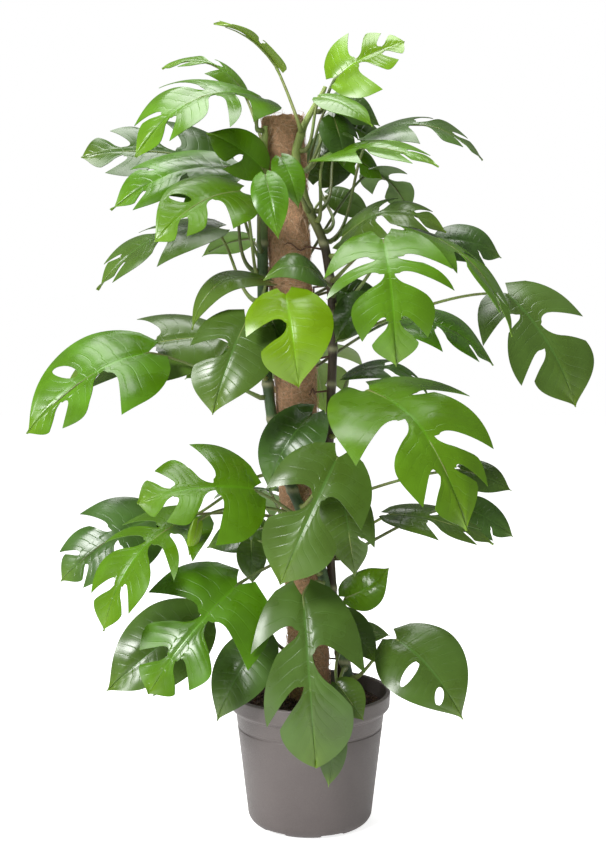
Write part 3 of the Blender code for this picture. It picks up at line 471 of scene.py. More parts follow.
def pot_profile(pot):
    """Down the inside from the floor's middle, over the rim, and down the outside to the underside."""
    top, lip_foot = pot.height, pot.height - pot.lip_height
    corner = pot.foot_round - pot.wall
    bend = wall_radius(pot, FLOOR_THICKNESS + corner) - pot.wall - corner
    points = [(0, FLOOR_THICKNESS), (bend * 0.5, FLOOR_THICKNESS)]
    points += arc((bend, FLOOR_THICKNESS + corner), corner, -90, 0, 8)
    points += [(wall_radius(pot, lip_foot) - pot.wall, lip_foot)]
    inside, outside, shoulder = pot.rim_radius - LIP_TOP_WIDTH, pot.rim_radius, pot.lip_step * 0.7
    points += [(inside, top - 0.004)]
    points += arc((inside + LIP_INNER_ROUND, top - LIP_INNER_ROUND), LIP_INNER_ROUND, 180, 90, 6)
    points += arc((outside - LIP_OUTER_ROUND, top - LIP_OUTER_ROUND), LIP_OUTER_ROUND, 90, 0, 8)
    points += [(outside - LIP_DRAFT / 2, top - 0.0075)]
    points += arc((outside - LIP_DRAFT - shoulder, lip_foot + 0.008), shoulder, 4, -84, 12)
    foot = wall_radius(pot, lip_foot)
    points += arc((foot + LIP_FOOT_ROUND, lip_foot + 0.0002), LIP_FOOT_ROUND, 110, 180, 4)
    for below, depth in GROOVE:
        height = lip_foot - below
        points.append((wall_radius(pot, height) - pot.groove * depth, height))
    points += [(wall_radius(pot, height), height) for height in (0.085, 0.06, 0.035)]
    points += arc((pot.base_radius - pot.foot_round, pot.foot_round), pot.foot_round, 0, -90, 12)
    return points + [(0, 0)]


def cut(obj, cutter):
    """Takes the cutter out of the object."""
    knife = obj.modifiers.new("cut", "BOOLEAN")
    knife.operation = "DIFFERENCE"
    knife.object = cutter
    knife.solver = "EXACT"


def notch_cutters(pot):
    for index in range(NOTCHES):
        bearing = math.radians(FIRST_NOTCH) + FULL_TURN * index / NOTCHES
        slab = bmesh.new()
        bmesh.ops.create_cube(slab, size=1)
        bmesh.ops.scale(slab, verts=slab.verts, vec=NOTCH_SIZE)
        bmesh.ops.bevel(
            slab, geom=slab.edges, offset=0.0009, segments=3, profile=0.5, affect="EDGES", material=-1
        )
        reach = pot.base_radius + 0.01 - NOTCH_SIZE.x / 2
        bmesh.ops.translate(slab, verts=slab.verts, vec=(reach, 0, 0))
        bmesh.ops.rotate(slab, verts=slab.verts, matrix=Matrix.Rotation(bearing, 3, "Z"))
        yield piece_from("notch_cutter", slab, smooth=0)
        drill = bmesh.new()
        sizes = dict(radius1=DRAIN_RADIUS, radius2=DRAIN_RADIUS, depth=0.04)
        bmesh.ops.create_cone(drill, cap_ends=True, segments=24, **sizes)
        out = Matrix.Rotation(bearing, 3, "Z") @ Vector((pot.base_radius - pot.foot_round, 0, 0.006))
        bmesh.ops.translate(drill, verts=drill.verts, vec=out)
        yield piece_from("drain_cutter", drill, smooth=0)


def pot_plastic(settings):
    shade = tuple(settings.plastic)
    return grained_material(
        "pot_plastic", shade, scaled(shade, 1.12), 0.40, 16.0, 2200.0, 0.00008, Specular_IOR_Level=0.45
    )


class PLANT_OT_pot(bpy.types.Operator):
    """Build the moulded pot, with its lip, groove, notches and drain holes"""

    bl_idname = "plant.pot"
    bl_label = "Pot"

    def execute(self, context):
        pot = context.scene.plant_pot
        shell = piece_from("pot_uncut", turned(pot_profile(pot), 120), smooth=0)
        cutters = list(notch_cutters(pot))
        for cutter in cutters:
            cut(shell, cutter)
        mesh = take_mesh(shell)
        for cutter in cutters:
            bpy.data.objects.remove(cutter)
        mesh.materials.clear()
        made = as_piece("pot_shell", mesh, [pot_plastic(pot)])
        mesh.shade_smooth()
        mesh.set_sharp_from_angle(angle=math.radians(32))
        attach(made, "root")
        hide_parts("pot")
        return {"FINISHED"}


# ---- Soil ---------------------------------------------------------------------------------------


LUMPS = ((140, 0.0020), (420, 0.0012))  # how close together the soil's lumps are, and how high
PATCH = 50  # crumbs


def soil_height(context, reach):
    """Height of the soil's surface at a distance from the pot's axis."""
    pot, soil = context.scene.plant_pot, context.scene.plant_soil
    edge = wall_radius(pot, pot.height - soil.drop) - pot.wall
    return pot.height - soil.drop + soil.mound * math.cos(math.pi / 2 * min(reach / edge, 1)) ** 2


def soil_bed(context):
    """The soil as one closed body, with a lumpy top."""
    pot, soil = context.scene.plant_pot, context.scene.plant_soil
    edge = wall_radius(pot, pot.height - soil.drop) - pot.wall - GAP
    low = FLOOR_THICKNESS + GAP
    corner = pot.foot_round - pot.wall
    rings = 44
    top = [(edge * i / rings, soil_height(context, edge * i / rings)) for i in range(rings + 1)]
    bend = wall_radius(pot, low + corner) - pot.wall - GAP - corner
    side = arc((bend, low + corner), corner, 0, -90, 4)
    bm = turned(top + side + [(0, low)], 120)
    for vert in bm.verts:
        reach = math.hypot(vert.co.x, vert.co.y)
        if vert.co.z > pot.height - soil.drop - 0.001 and reach < edge - 0.001:
            vert.co.z += sum(rise * noise.noise(vert.co * close) for close, rise in LUMPS)
    return bm


def crumb_patch(context, rng, crumbs):
    """A few crumbs of peat and slips of bark, as one mesh."""
    pot, soil = context.scene.plant_pot, context.scene.plant_soil
    edge = wall_radius(pot, pot.height - soil.drop) - pot.wall - 0.0035
    bm = bmesh.new()
    for index in range(crumbs):
        reach = edge * math.sqrt(rng.uniform(0.02, 1))
        bearing = rng.uniform(0, FULL_TURN)
        if index % 5:
            lump = bmesh.ops.create_icosphere(bm, subdivisions=1, radius=rng.uniform(0.0006, 0.0021))
            shape = Vector([rng.uniform(0.6, 1.3) for _ in range(3)])
        else:
            lump = bmesh.ops.create_cube(bm, size=0.001)
            shape = Vector((rng.uniform(3, 9), rng.uniform(0.9, 2.2), rng.uniform(0.5, 1.1)))
        verts = lump["verts"]
        turn = Matrix.Rotation(rng.uniform(0, FULL_TURN), 3, "Z")
        turn = turn @ Matrix.Rotation(rng.uniform(-0.4, 0.4), 3, "Y")
        bmesh.ops.scale(bm, verts=verts, vec=shape)
        bmesh.ops.rotate(bm, verts=verts, matrix=turn)
        place = Vector((reach * math.cos(bearing), reach * math.sin(bearing), soil_height(context, reach)))
        bmesh.ops.translate(bm, verts=verts, vec=place + Vector((0, 0, rng.uniform(0, 0.0012))))
    mesh = bpy.data.meshes.new("crumbs")
    bm.to_mesh(mesh)
    bm.free()
    return mesh


def soil_crumbs(context, rng):
    """All the crumbs, made patch by patch, because an operator slows down as its mesh grows."""
    whole = bmesh.new()
    for _ in range(context.scene.plant_soil.crumbs // PATCH):
        mesh = crumb_patch(context, rng, PATCH)
        whole.from_mesh(mesh)
        bpy.data.meshes.remove(mesh)
    return whole


class PLANT_OT_soil(bpy.types.Operator):
    """Fill the pot with potting soil, and strew crumbs and bark on it"""

    bl_idname = "plant.soil"
    bl_label = "Soil"

    def execute(self, context):
        soil = context.scene.plant_soil
        dark, light = tuple(soil.dark), tuple(soil.light)
        peat = grained_material("peat", dark, scaled(dark, 2.2), 0.92, 220.0, 1400.0, 0.0006)
        bark = grained_material("bark_crumbs", dark, light, 0.88, 260.0, 1600.0, 0.0004)
        bed = piece_from("soil_bed", soil_bed(context), [peat])
        crumbs = piece_from("soil_crumbs", soil_crumbs(context, random.Random(5)), [bark], smooth=30)
        for made in (bed, crumbs):
            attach(made, "root")
        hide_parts("soil")
        return {"FINISHED"}


# ---- Pole ---------------------------------------------------------------------------------------

POLE_FOOT = 0.0098 - POT_HEIGHT  # below the rim
TOP_FIBRES = 70  # that stand up from the coir's cut end


def pole_axis(up):
    """The pole's axis at a height above the rim."""
    return Vector((-math.tan(math.radians(POLE_LEAN)) * up, 0, POT_HEIGHT + up))


def around_pole(bearing, out, up):
    """A point at a bearing (0 is right, -90 front) and a distance out from the pole's face."""
    angle = math.radians(bearing)
    return pole_axis(up) + Vector((math.cos(angle), math.sin(angle), 0)) * (POLE_RADIUS + out)


def lean_with_pole(bm):
    """Leans a shape made upright about the pole's axis at rim height."""
    lean = Matrix.Translation(pole_axis(0)) @ Matrix.Rotation(-math.radians(POLE_LEAN), 4, "Y")
    bmesh.ops.transform(bm, verts=bm.verts, matrix=lean)


def coir_sleeve(pole):
    """The coir as a rough closed sleeve around the stake."""
    bore = pole.core_radius + GAP
    rings = 200
    rise = (pole.top - POLE_FOOT) / rings
    profile = [(bore, POLE_FOOT), (bore, pole.top), (bore + 0.007, pole.top + 0.0004)]
    profile += [(pole.radius, pole.top)]
    profile += [(pole.radius, pole.top - rise * i) for i in range(1, rings)]
    profile += [(pole.radius, POLE_FOOT), (bore, POLE_FOOT)]
    bm = turned(profile, 72)
    for vert in bm.verts:
        outward = Vector((vert.co.x, vert.co.y, 0))
        if outward.length < bore + 0.003:
            continue
        lumps = 0.0013 * noise.noise(vert.co * 70) + 0.0009 * noise.noise(vert.co * 260)
        vert.co += outward.normalized() * (lumps - 0.0011)
        if vert.co.z > pole.top - 0.001:
            vert.co.z += 0.002 * noise.noise(vert.co * 300)
    return bm


def fibre_runs(pole, rng):
    """Loose fibres: each wanders over the coir and lifts off it at one end."""
    runs = []
    for _ in range(pole.fibres):
        up = rng.uniform(-0.02, pole.top - 0.002)
        bearing = rng.uniform(0, 360)
        slope = rng.gauss(0, 0.8)
        span = rng.uniform(0.012, 0.038)
        lift = rng.choice((0.0, 0.0, 0.0008, 0.0016, 0.0030))
        bend = rng.uniform(-1.2, 1.2)
        thick = pole.fibre_radius * rng.uniform(0.6, 1.3)
        run = []
        for step in range(6):
            share = step / 5
            turn = slope + bend * share
            bearing += math.degrees(span / 5 * math.cos(turn) / pole.radius)
            up = min(up + span / 5 * math.sin(turn), pole.top + 0.004)
            off = -0.0002 + lift * share**2 + 0.0003 * rng.random()
            run.append((around_pole(bearing, off, up), thick * (1 - 0.6 * share)))
        runs.append(run)
    for _ in range(TOP_FIBRES):
        bearing, inward = rng.uniform(0, 360), rng.uniform(-0.012, -0.001)
        start = around_pole(bearing, inward, pole.top - 0.004)
        away = Vector((rng.uniform(-1, 1), rng.uniform(-1, 1), rng.uniform(0.2, 1.1))) * 0.007
        steps = [(0.0, 1.0), (0.5, 0.8), (1.0, 0.4)]
        runs.append([(start + away * share, pole.fibre_radius * thin) for share, thin in steps])
    return runs


class PLANT_OT_pole(bpy.types.Operator):
    """Build the coir pole, with its loose fibres and the stake in it"""

    bl_idname = "plant.pole"
    bl_label = "Coir pole"

    def execute(self, context):
        pole = context.scene.plant_pole
        brown, straw, wood = tuple(pole.brown), tuple(pole.straw), tuple(pole.stake)
        low, high = scaled(brown, 0.75), scaled(brown, 1.2)
        mat = grained_material("coir_mat", low, high, 0.95, 330.0, 1500.0, 0.0009)
        strand = grained_material("coir_strands", brown, straw, 0.85, 160.0, 1500.0, 0.0002)
        timber = grained_material("stake_wood", wood, scaled(wood, 0.7), 0.8, 90.0, 900.0, 0.0003)
        sleeve = coir_sleeve(pole)
        lean_with_pole(sleeve)
        coir = piece_from("coir_sleeve", sleeve, [mat])
        fibres = as_piece(
            "coir_fibres", tubes_mesh("coir_fibres", fibre_runs(pole, random.Random(11)), 0), [strand]
        )
        top = pole.top - 0.006
        stick = turned([(0, top), (pole.core_radius - 0.0008, top), (pole.core_radius, top - 0.0008),
                        (pole.core_radius, POLE_FOOT), (0, POLE_FOOT)], 32)
        lean_with_pole(stick)
        stake = piece_from("pole_core", stick, [timber])
        for made, slot in ((coir, "coir"), (fibres, "coir"), (stake, "stake_wood")):
            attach(made, "root")
        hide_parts("coir_pole")
        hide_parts("pole_stake")
        return {"FINISHED"}


# ---- Vines --------------------------------------------------------------------------------------


class Vine:
    """A climbing stem: its route is (height above the rim, bearing, distance of its side from the pole)."""

    def __init__(self, name, slot, radius, route):
        self.name = name
        self.slot = slot
        self.radius = radius
        self.route = route

    def knot(self, index):
        return self.route[max(0, min(index, len(self.route) - 1))]

    def at(self, up):
        """The vine's centre at a height, on a smooth curve through its route."""
        heights = [point[0] for point in self.route]
        up = max(heights[0], min(up, heights[-1]))
        first = max(i for i in range(len(heights) - 1) if heights[i] <= up + 1e-9)
        a, b = self.route[first], self.route[first + 1]
        before, after = self.knot(first - 1), self.knot(first + 2)
        t = (up - a[0]) / (b[0] - a[0])
        bearing, stand = (
            0.5
            * (
                2 * a[k]
                + (b[k] - before[k]) * t
                + (2 * before[k] - 5 * a[k] + 4 * b[k] - after[k]) * t * t
                + (3 * a[k] - before[k] - 3 * b[k] + after[k]) * t * t * t
            )
            for k in (1, 2)
        )
        return around_pole(bearing, max(stand, GAP + 0.0005) + self.radius, up)


SOIL_UP = -0.015
VINE_FOOT = SOIL_UP - 0.035
VINES = {
    "front": Vine("front_vine", "green_stem", 0.0058, [
        (VINE_FOOT, -26, 0.026), (SOIL_UP, -28, 0.024), (0.05, -34, 0.014), (0.10, -46, 0.006),
        (0.17, -74, 0.001), (0.26, -138, 0.001), (0.37, -172, 0.002), (0.46, -158, 0.001),
        (0.54, -140, 0.001), (0.585, -128, 0.001),
    ]),
    "right": Vine("right_vine", "brown_stem", 0.0048, [
        (VINE_FOOT, 28, 0.014), (SOIL_UP, 26, 0.012), (0.10, 10, 0.002), (0.22, -6, 0.002),
        (0.30, -18, 0.010), (0.39, -20, 0.017), (0.46, -16, 0.012), (0.51, -50, 0.003),
        (0.555, -66, 0.001), (0.585, -46, 0.003), (0.606, -30, 0.011), (0.625, -20, 0.020),
    ]),
    "back": Vine("back_vine", "green_stem", 0.0048, [
        (VINE_FOOT, 118, 0.010), (SOIL_UP, 116, 0.008), (0.12, 100, 0.001), (0.28, 84, 0.001),
        (0.42, 110, 0.001), (0.56, 88, 0.001),
    ]),
}


JOINT_SPREAD = 0.0028  # how far a joint's swelling runs up and down the stem
TAPER = 0.07  # length over which a stem thins to its tip
NEW_FROM, NEW_SPAN = 0.46, 0.09  # where a stem turns green, and over what height
ROOT_RADIUS = 0.0011


def near_joint(up, spacing):
    """How near a height is to a joint of the stem, from 0 between joints to 1 on one."""
    off = (up / spacing + 0.5) % 1 - 0.5
    return math.exp(-((off * spacing / JOINT_SPREAD) ** 2))


def vine_run(vine, settings):
    low, high = vine.route[0][0], vine.route[-1][0]
    steps = round((high - low) / 0.0022)
    run = []
    for step in range(steps + 1):
        up = low + (high - low) * step / steps
        taper = 1 if high - up > TAPER else 0.45 + 0.55 * (high - up) / TAPER
        swell = settings.joint_swell * near_joint(up, settings.joint_spacing)
        swell += 0.03 * noise.noise((up * 60, 0, 0))
        run.append((vine.at(up), vine.radius * taper * (0.97 + swell)))
    return run


def root_runs(rng):
    """Aerial roots: each leaves a joint and creeps over the coir."""
    runs = []
    for vine in VINES.values():
        for joint in range(1, 16):
            up = vine.route[0][0] + 0.036 * (joint + 1.2)
            if up > 0.56 or rng.random() < 0.25:
                continue
            towards = pole_axis(up) - vine.at(up)
            bearing = math.degrees(math.atan2(-towards.y, -towards.x))
            side = rng.choice((-1, 1))
            span = rng.uniform(25, 75)
            drop = rng.uniform(-0.02, 0.03)
            run = [(vine.at(up), ROOT_RADIUS)]
            for step in range(1, 10):
                share = step / 9
                turn = bearing + side * (10 + span * share)
                height = up - drop * share + 0.003 * math.sin(9 * share + joint)
                place = around_pole(turn, 0.0006 + 0.0012 * math.sin(3 * share), height)
                run.append((place, ROOT_RADIUS * (1 - 0.6 * share)))
            runs.append(run)
    return runs


class PLANT_OT_vines(bpy.types.Operator):
    """Grow the climbing stems up the pole, with the aerial roots that hold them"""

    bl_idname = "plant.vines"
    bl_label = "Vines"

    def execute(self, context):
        settings = context.scene.plant_vines
        skins = {
            "green_stem": stem_material("green_stem_skin", tuple(settings.green), settings),
            "brown_stem": stem_material("brown_stem_skin", tuple(settings.brown), settings),
        }
        for vine in VINES.values():
            name = vine.name + "_stem"
            mesh = tubes_mesh(name, [vine_run(vine, settings)], 6)
            ups = [vert.co.z - POT_HEIGHT for vert in mesh.vertices]
            mark(mesh, "ring", [near_joint(up, settings.joint_spacing) for up in ups])
            mark(mesh, "new", [min(max((up - NEW_FROM) / NEW_SPAN, 0), 0.9) for up in ups])
            made = as_piece(name, mesh, [skins[vine.slot]])
            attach(made, "root")
            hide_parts(vine.name)
        root = tuple(settings.root)
        skin = grained_material("root_skin", root, scaled(root, 1.8), 0.8, 120.0, 1500.0, 0.0002)
        mesh = tubes_mesh("aerial_roots", root_runs(random.Random(3)), 2)
        made = as_piece("aerial_roots", mesh, [skin])
        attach(made, "root")
        return {"FINISHED"}


# ---- Leaves -------------------------------------------------------------------------------------

# A side's slits, each (step, inner, width, mouth). Steps count sixths of the midrib. Inner is where
# the slit starts, as a share of the way from the midrib to the margin. Width is a share of the blade's
# length, and mouth is the width at the margin as a share of the widest.
DEEP, SHALLOW = 0.18, 0.50
WHOLE = ()
ONE = ((3, SHALLOW, 0.07, 0.9),)
LOW_ONE = ((2, DEEP, 0.13, 1.0),)
TWO = ((2, 0.25, 0.10, 1.0), (4, 0.30, 0.08, 1.0))
WIDE_TWO = ((2, DEEP, 0.15, 1.2), (4, 0.25, 0.12, 1.2))
THREE = ((1, 0.35, 0.06, 0.9), (3, DEEP, 0.10, 1.0), (4, 0.30, 0.08, 1.0))
FINGERS = ((1, 0.25, 0.09, 1.1), (2, 0.15, 0.12, 1.3), (4, 0.22, 0.12, 1.2))
FAR_TWO = ((1, 0.20, 0.11, 1.3), (3, 0.20, 0.11, 1.2))
GAPING = ((2, 0.12, 0.22, 1.4),)
GAPING_TWO = ((2, 0.14, 0.18, 1.4), (4, 0.20, 0.14, 1.4))
PIERCED = ((3, 0.20, 0.11, 0),)
PIERCED_TWO = ((2, 0.10, 0.10, 0), (4, 0.12, 0.11, 0))
HOLE_END = 0.80  # share of the way to the margin where a slit with no mouth ends
COLUMNS = 48  # along a blade; sixths of the midrib fall on columns
ROWS = 12  # from the midrib to the margin, before the closer rows at a slit's inner end
LATERALS = 12


class Leaf:
    """One leaf: where its blade starts, where it points, and which way its upper side looks."""

    def __init__(self, name, stem, node, bearing, out, up, blade, face, **looks):
        self.name = name
        self.stem = VINES[stem]
        self.node = node
        self.base = around_pole(bearing, out, up)
        self.blade = Vector(blade)
        self.face = Vector(face)
        self.half_width = looks.get("half_width", 0.36)
        self.arch = looks.get("arch", 0.10)
        self.fold = looks.get("fold", 0.15)
        self.curl = looks.get("curl", 0.55)
        self.twist = looks.get("twist", 0.0)
        self.back = looks.get("back", 0.10)
        self.sweep = looks.get("sweep", 0.09)
        self.right = looks.get("right", TWO)
        self.left = looks.get("left", TWO)
        self.shade = looks.get("shade", "mature")
        self.rng = random.Random(name)
        self.phase = self.rng.uniform(0, FULL_TURN)
        length = self.blade.length
        along = self.blade.normalized()
        self.lift = (self.face - along * self.face.dot(along)).normalized() * self.arch * length

    def midrib(self, share):
        return self.base + self.blade * share + self.lift * 4 * share * (1 - share)

    def axes(self, share):
        """Along the midrib, towards the right half, and out of the upper side."""
        along = (self.blade + self.lift * 4 * (1 - 2 * share)).normalized()
        across = along.cross(self.face).normalized()
        across = Quaternion(along, self.twist * share) @ across
        return along, across, across.cross(along)

    def surface(self, ahead, aside, side, relief=0.0):
        """A point of the blade: ahead along the midrib and aside from it, as shares of the length."""
        _, across, upper = self.axes(min(max(ahead, 0), 1))
        span = self.blade.length
        bend = self.curl / self.half_width
        reach, rise = aside, 0.0
        if aside > 0:
            reach = (math.sin(self.fold) - math.sin(self.fold - bend * aside)) / bend
            rise = (math.cos(self.fold - bend * aside) - math.cos(self.fold)) / bend
        return self.midrib(ahead) + (across * side * reach + upper * (rise + relief)) * span

    def relief(self, along, out, side, settings):
        """Rise of the surface: quilted between the veins, sunken at the midrib, waved at the margin."""
        beside = abs((along * LATERALS) % 1 - 0.5) * 2
        quilt = -settings.quilting * (1 - beside) ** 2 * min(1, out * 4) * (1 - out) ** 0.5
        groove = -0.005 * math.exp(-((out / 0.07) ** 2))
        wave = settings.waves * out**2 * math.sin(9 * along + self.phase + side)
        wave += 0.02 * noise.noise(Vector((along * 2.2, side * out * 1.5, self.phase)))
        return quilt + groove + wave


def fullness(share):
    """Half width of the outline along the blade: heart-shaped at the base, drawn out at the tip."""
    widest = 0.22
    if share < widest:
        return 0.16 + 0.84 * math.sqrt(1 - (1 - share / widest) ** 2)
    return max(0.0, math.cos(math.pi / 2 * (share - widest) / (1 - widest))) ** 1.55


def slit_end(slit):
    """Share of the way to the margin where the slit ends: short of it when it has no mouth."""
    return 1.0 if slit[3] else HOLE_END


def slit_opening(slit, out):
    """Half the slit's width at a distance out from the midrib: round at its inner end."""
    _, inner, width, mouth = slit
    run = (out - inner) / (slit_end(slit) - inner)
    if not 0 < run <= 1:
        return 0.0
    if not mouth:
        return width * math.sqrt(run * (1 - run))
    head = min(run / 0.35, 1)
    return width / 2 * math.sqrt(1 - (1 - head) ** 2) * (1 + (mouth - 1) * run**2)


def blade_place(leaf, slits, along, out):
    """(ahead, aside) of the point at a share of the midrib and a share of the way to the margin."""
    ends = [0.0] + [slit[0] / 6 for slit in slits] + [1.0]
    lobe = max(i for i in range(len(ends) - 1) if ends[i] <= along)
    share = (along - ends[lobe]) / (ends[lobe + 1] - ends[lobe])
    edge_ahead = -leaf.back + (1 + leaf.back) * along**0.78 + leaf.sweep * 4 * along * (1 - along)
    edge_aside = leaf.half_width * fullness(along)
    first, last = lobe == 0, lobe == len(ends) - 2
    if not first and slits[lobe - 1][3]:
        edge_aside *= 1 - (0.22 if last else 0.42) * (1 - share) ** 1.6
        if last:
            edge_aside *= 1 + 0.25 * ends[lobe] * math.sin(math.pi * share**0.8)
    if not last and slits[lobe][3]:
        edge_aside *= 1 + 0.10 * share**3
        edge_ahead += 0.12 * share**2.5
    bow = 2 * out * (1 - out)
    ahead = (1 - out) ** 2 * along + bow * (along + 0.3 * (edge_ahead - along)) + out**2 * edge_ahead
    aside = bow * 0.5 * edge_aside + out**2 * edge_aside
    if not first:
        ahead += (1 - share) * slit_opening(slits[lobe - 1], out)
    if not last:
        ahead -= share * slit_opening(slits[lobe], out)
    return ahead, aside


def blade_rows(leaf):
    """Shares of the way from midrib to margin, closer together where a slit begins."""
    rows = {round(i / ROWS, 3) for i in range(ROWS + 1)}
    for _, inner, _, _ in leaf.right + leaf.left:
        rows = {row for row in rows if not inner - 0.02 < row < inner + 0.13}
        rows |= {inner, inner + 0.008, inner + 0.03, inner + 0.065, inner + 0.11}
    if not all(slit[3] for slit in leaf.right + leaf.left):
        rows = {row for row in rows if not HOLE_END - 0.05 < row < HOLE_END + 0.03}
        rows |= {HOLE_END - 0.04, HOLE_END - 0.012, HOLE_END}
    return sorted(rows)


def blade_bmesh(leaf, settings):
    """The blade as one sheet: a grid, parted along its slits and laid on the leaf's surface."""
    rows = blade_rows(leaf)
    count = len(rows) - 1
    bm = bmesh.new()
    bmesh.ops.create_grid(bm, x_segments=COLUMNS, y_segments=2 * count, size=0.5)
    for vert in bm.verts:
        row = round(vert.co.y * 2 * count)
        vert.co = (vert.co.x + 0.5, math.copysign(rows[abs(row)], row) if row else 0.0, 0)
    uv = bm.loops.layers.uv.new("blade")
    for face in bm.faces:
        for loop in face.loops:
            loop[uv].uv = (loop.vert.co.x, 0.5 + loop.vert.co.y / 2)
    for side, slits in ((-1, leaf.right), (1, leaf.left)):
        cuts = []
        for slit in slits:
            for edge in bm.edges:
                a, b = (vert.co for vert in edge.verts)
                on_line = abs(a.x - slit[0] / 6) < 1e-4 and abs(b.x - slit[0] / 6) < 1e-4
                if on_line and slit[1] < (a.y + b.y) / 2 * side < slit_end(slit):
                    cuts.append(edge)
        if cuts:
            bmesh.ops.split_edges(bm, edges=cuts)
    tip = bm.verts.layers.float.new("tip")
    places = {}
    for vert in bm.verts:
        middle = sum(face.calc_center_median().x for face in vert.link_faces) / len(vert.link_faces)
        along = vert.co.x + (1e-5 if middle > vert.co.x else -1e-5)
        along = min(max(along, 0.0), 1.0)
        side = -1 if vert.co.y > 0 else 1
        out = abs(vert.co.y)
        ahead, aside = blade_place(leaf, leaf.left if side < 0 else leaf.right, along, out)
        places[vert] = leaf.surface(ahead, aside, side, leaf.relief(along, out, side, settings))
        vert[tip] = along**6
    for vert, place in places.items():
        vert.co = place
    return bm


def petiole_run(leaf, settings):
    """From the vine's side to the blade, and on under its midrib, growing thinner."""
    centre = leaf.stem.at(leaf.node)
    towards = leaf.base - centre
    level = Vector((towards.x, towards.y, 0)).normalized()
    clear = centre - pole_axis(leaf.node)
    clear = Vector((clear.x, clear.y, 0)).normalized()
    if level.dot(clear) < 0.35:
        level = (level + clear * (0.6 - level.dot(clear))).normalized()
    start = centre + level * (leaf.stem.radius * 0.6)
    along, _, upper = leaf.axes(0)
    span = (leaf.base - start).length
    end = leaf.base - upper * 0.0008
    handle_a = start + level * max(0.012, 0.3 * span) + Vector((0, 0, 0.12 * span))
    handle_b = end - (along * 0.5 + (leaf.base - start).normalized() * 0.5) * 0.3 * span
    second = start + level * 0.006
    steps = 22
    thick = settings.petiole_radius
    run = [(start, thick * 1.7)]
    for index in range(steps + 1):
        t = index / steps
        bend = 3 * (1 - t) ** 2 * t * handle_a + 3 * (1 - t) * t * t * handle_b
        point = (1 - t) ** 3 * second + bend + t**3 * end
        sheath = 0.55 * max(0, 1 - t / 0.3) ** 2
        knee = 0.25 * math.exp(-(((t - 0.95) / 0.05) ** 2))
        run.append((point, thick * (1.1 - 0.3 * t + sheath + knee)))
    for share in (0.06, 0.12, 0.2, 0.3, 0.42, 0.55, 0.7, 0.85):
        _, _, upper = leaf.axes(share)
        under = upper * (0.006 * leaf.blade.length + 0.0004 + 0.0004 * (1 - share))
        run.append((leaf.midrib(share) - under, thick * 0.75 * (1 - share) ** 0.8 + 0.0001))
    return run


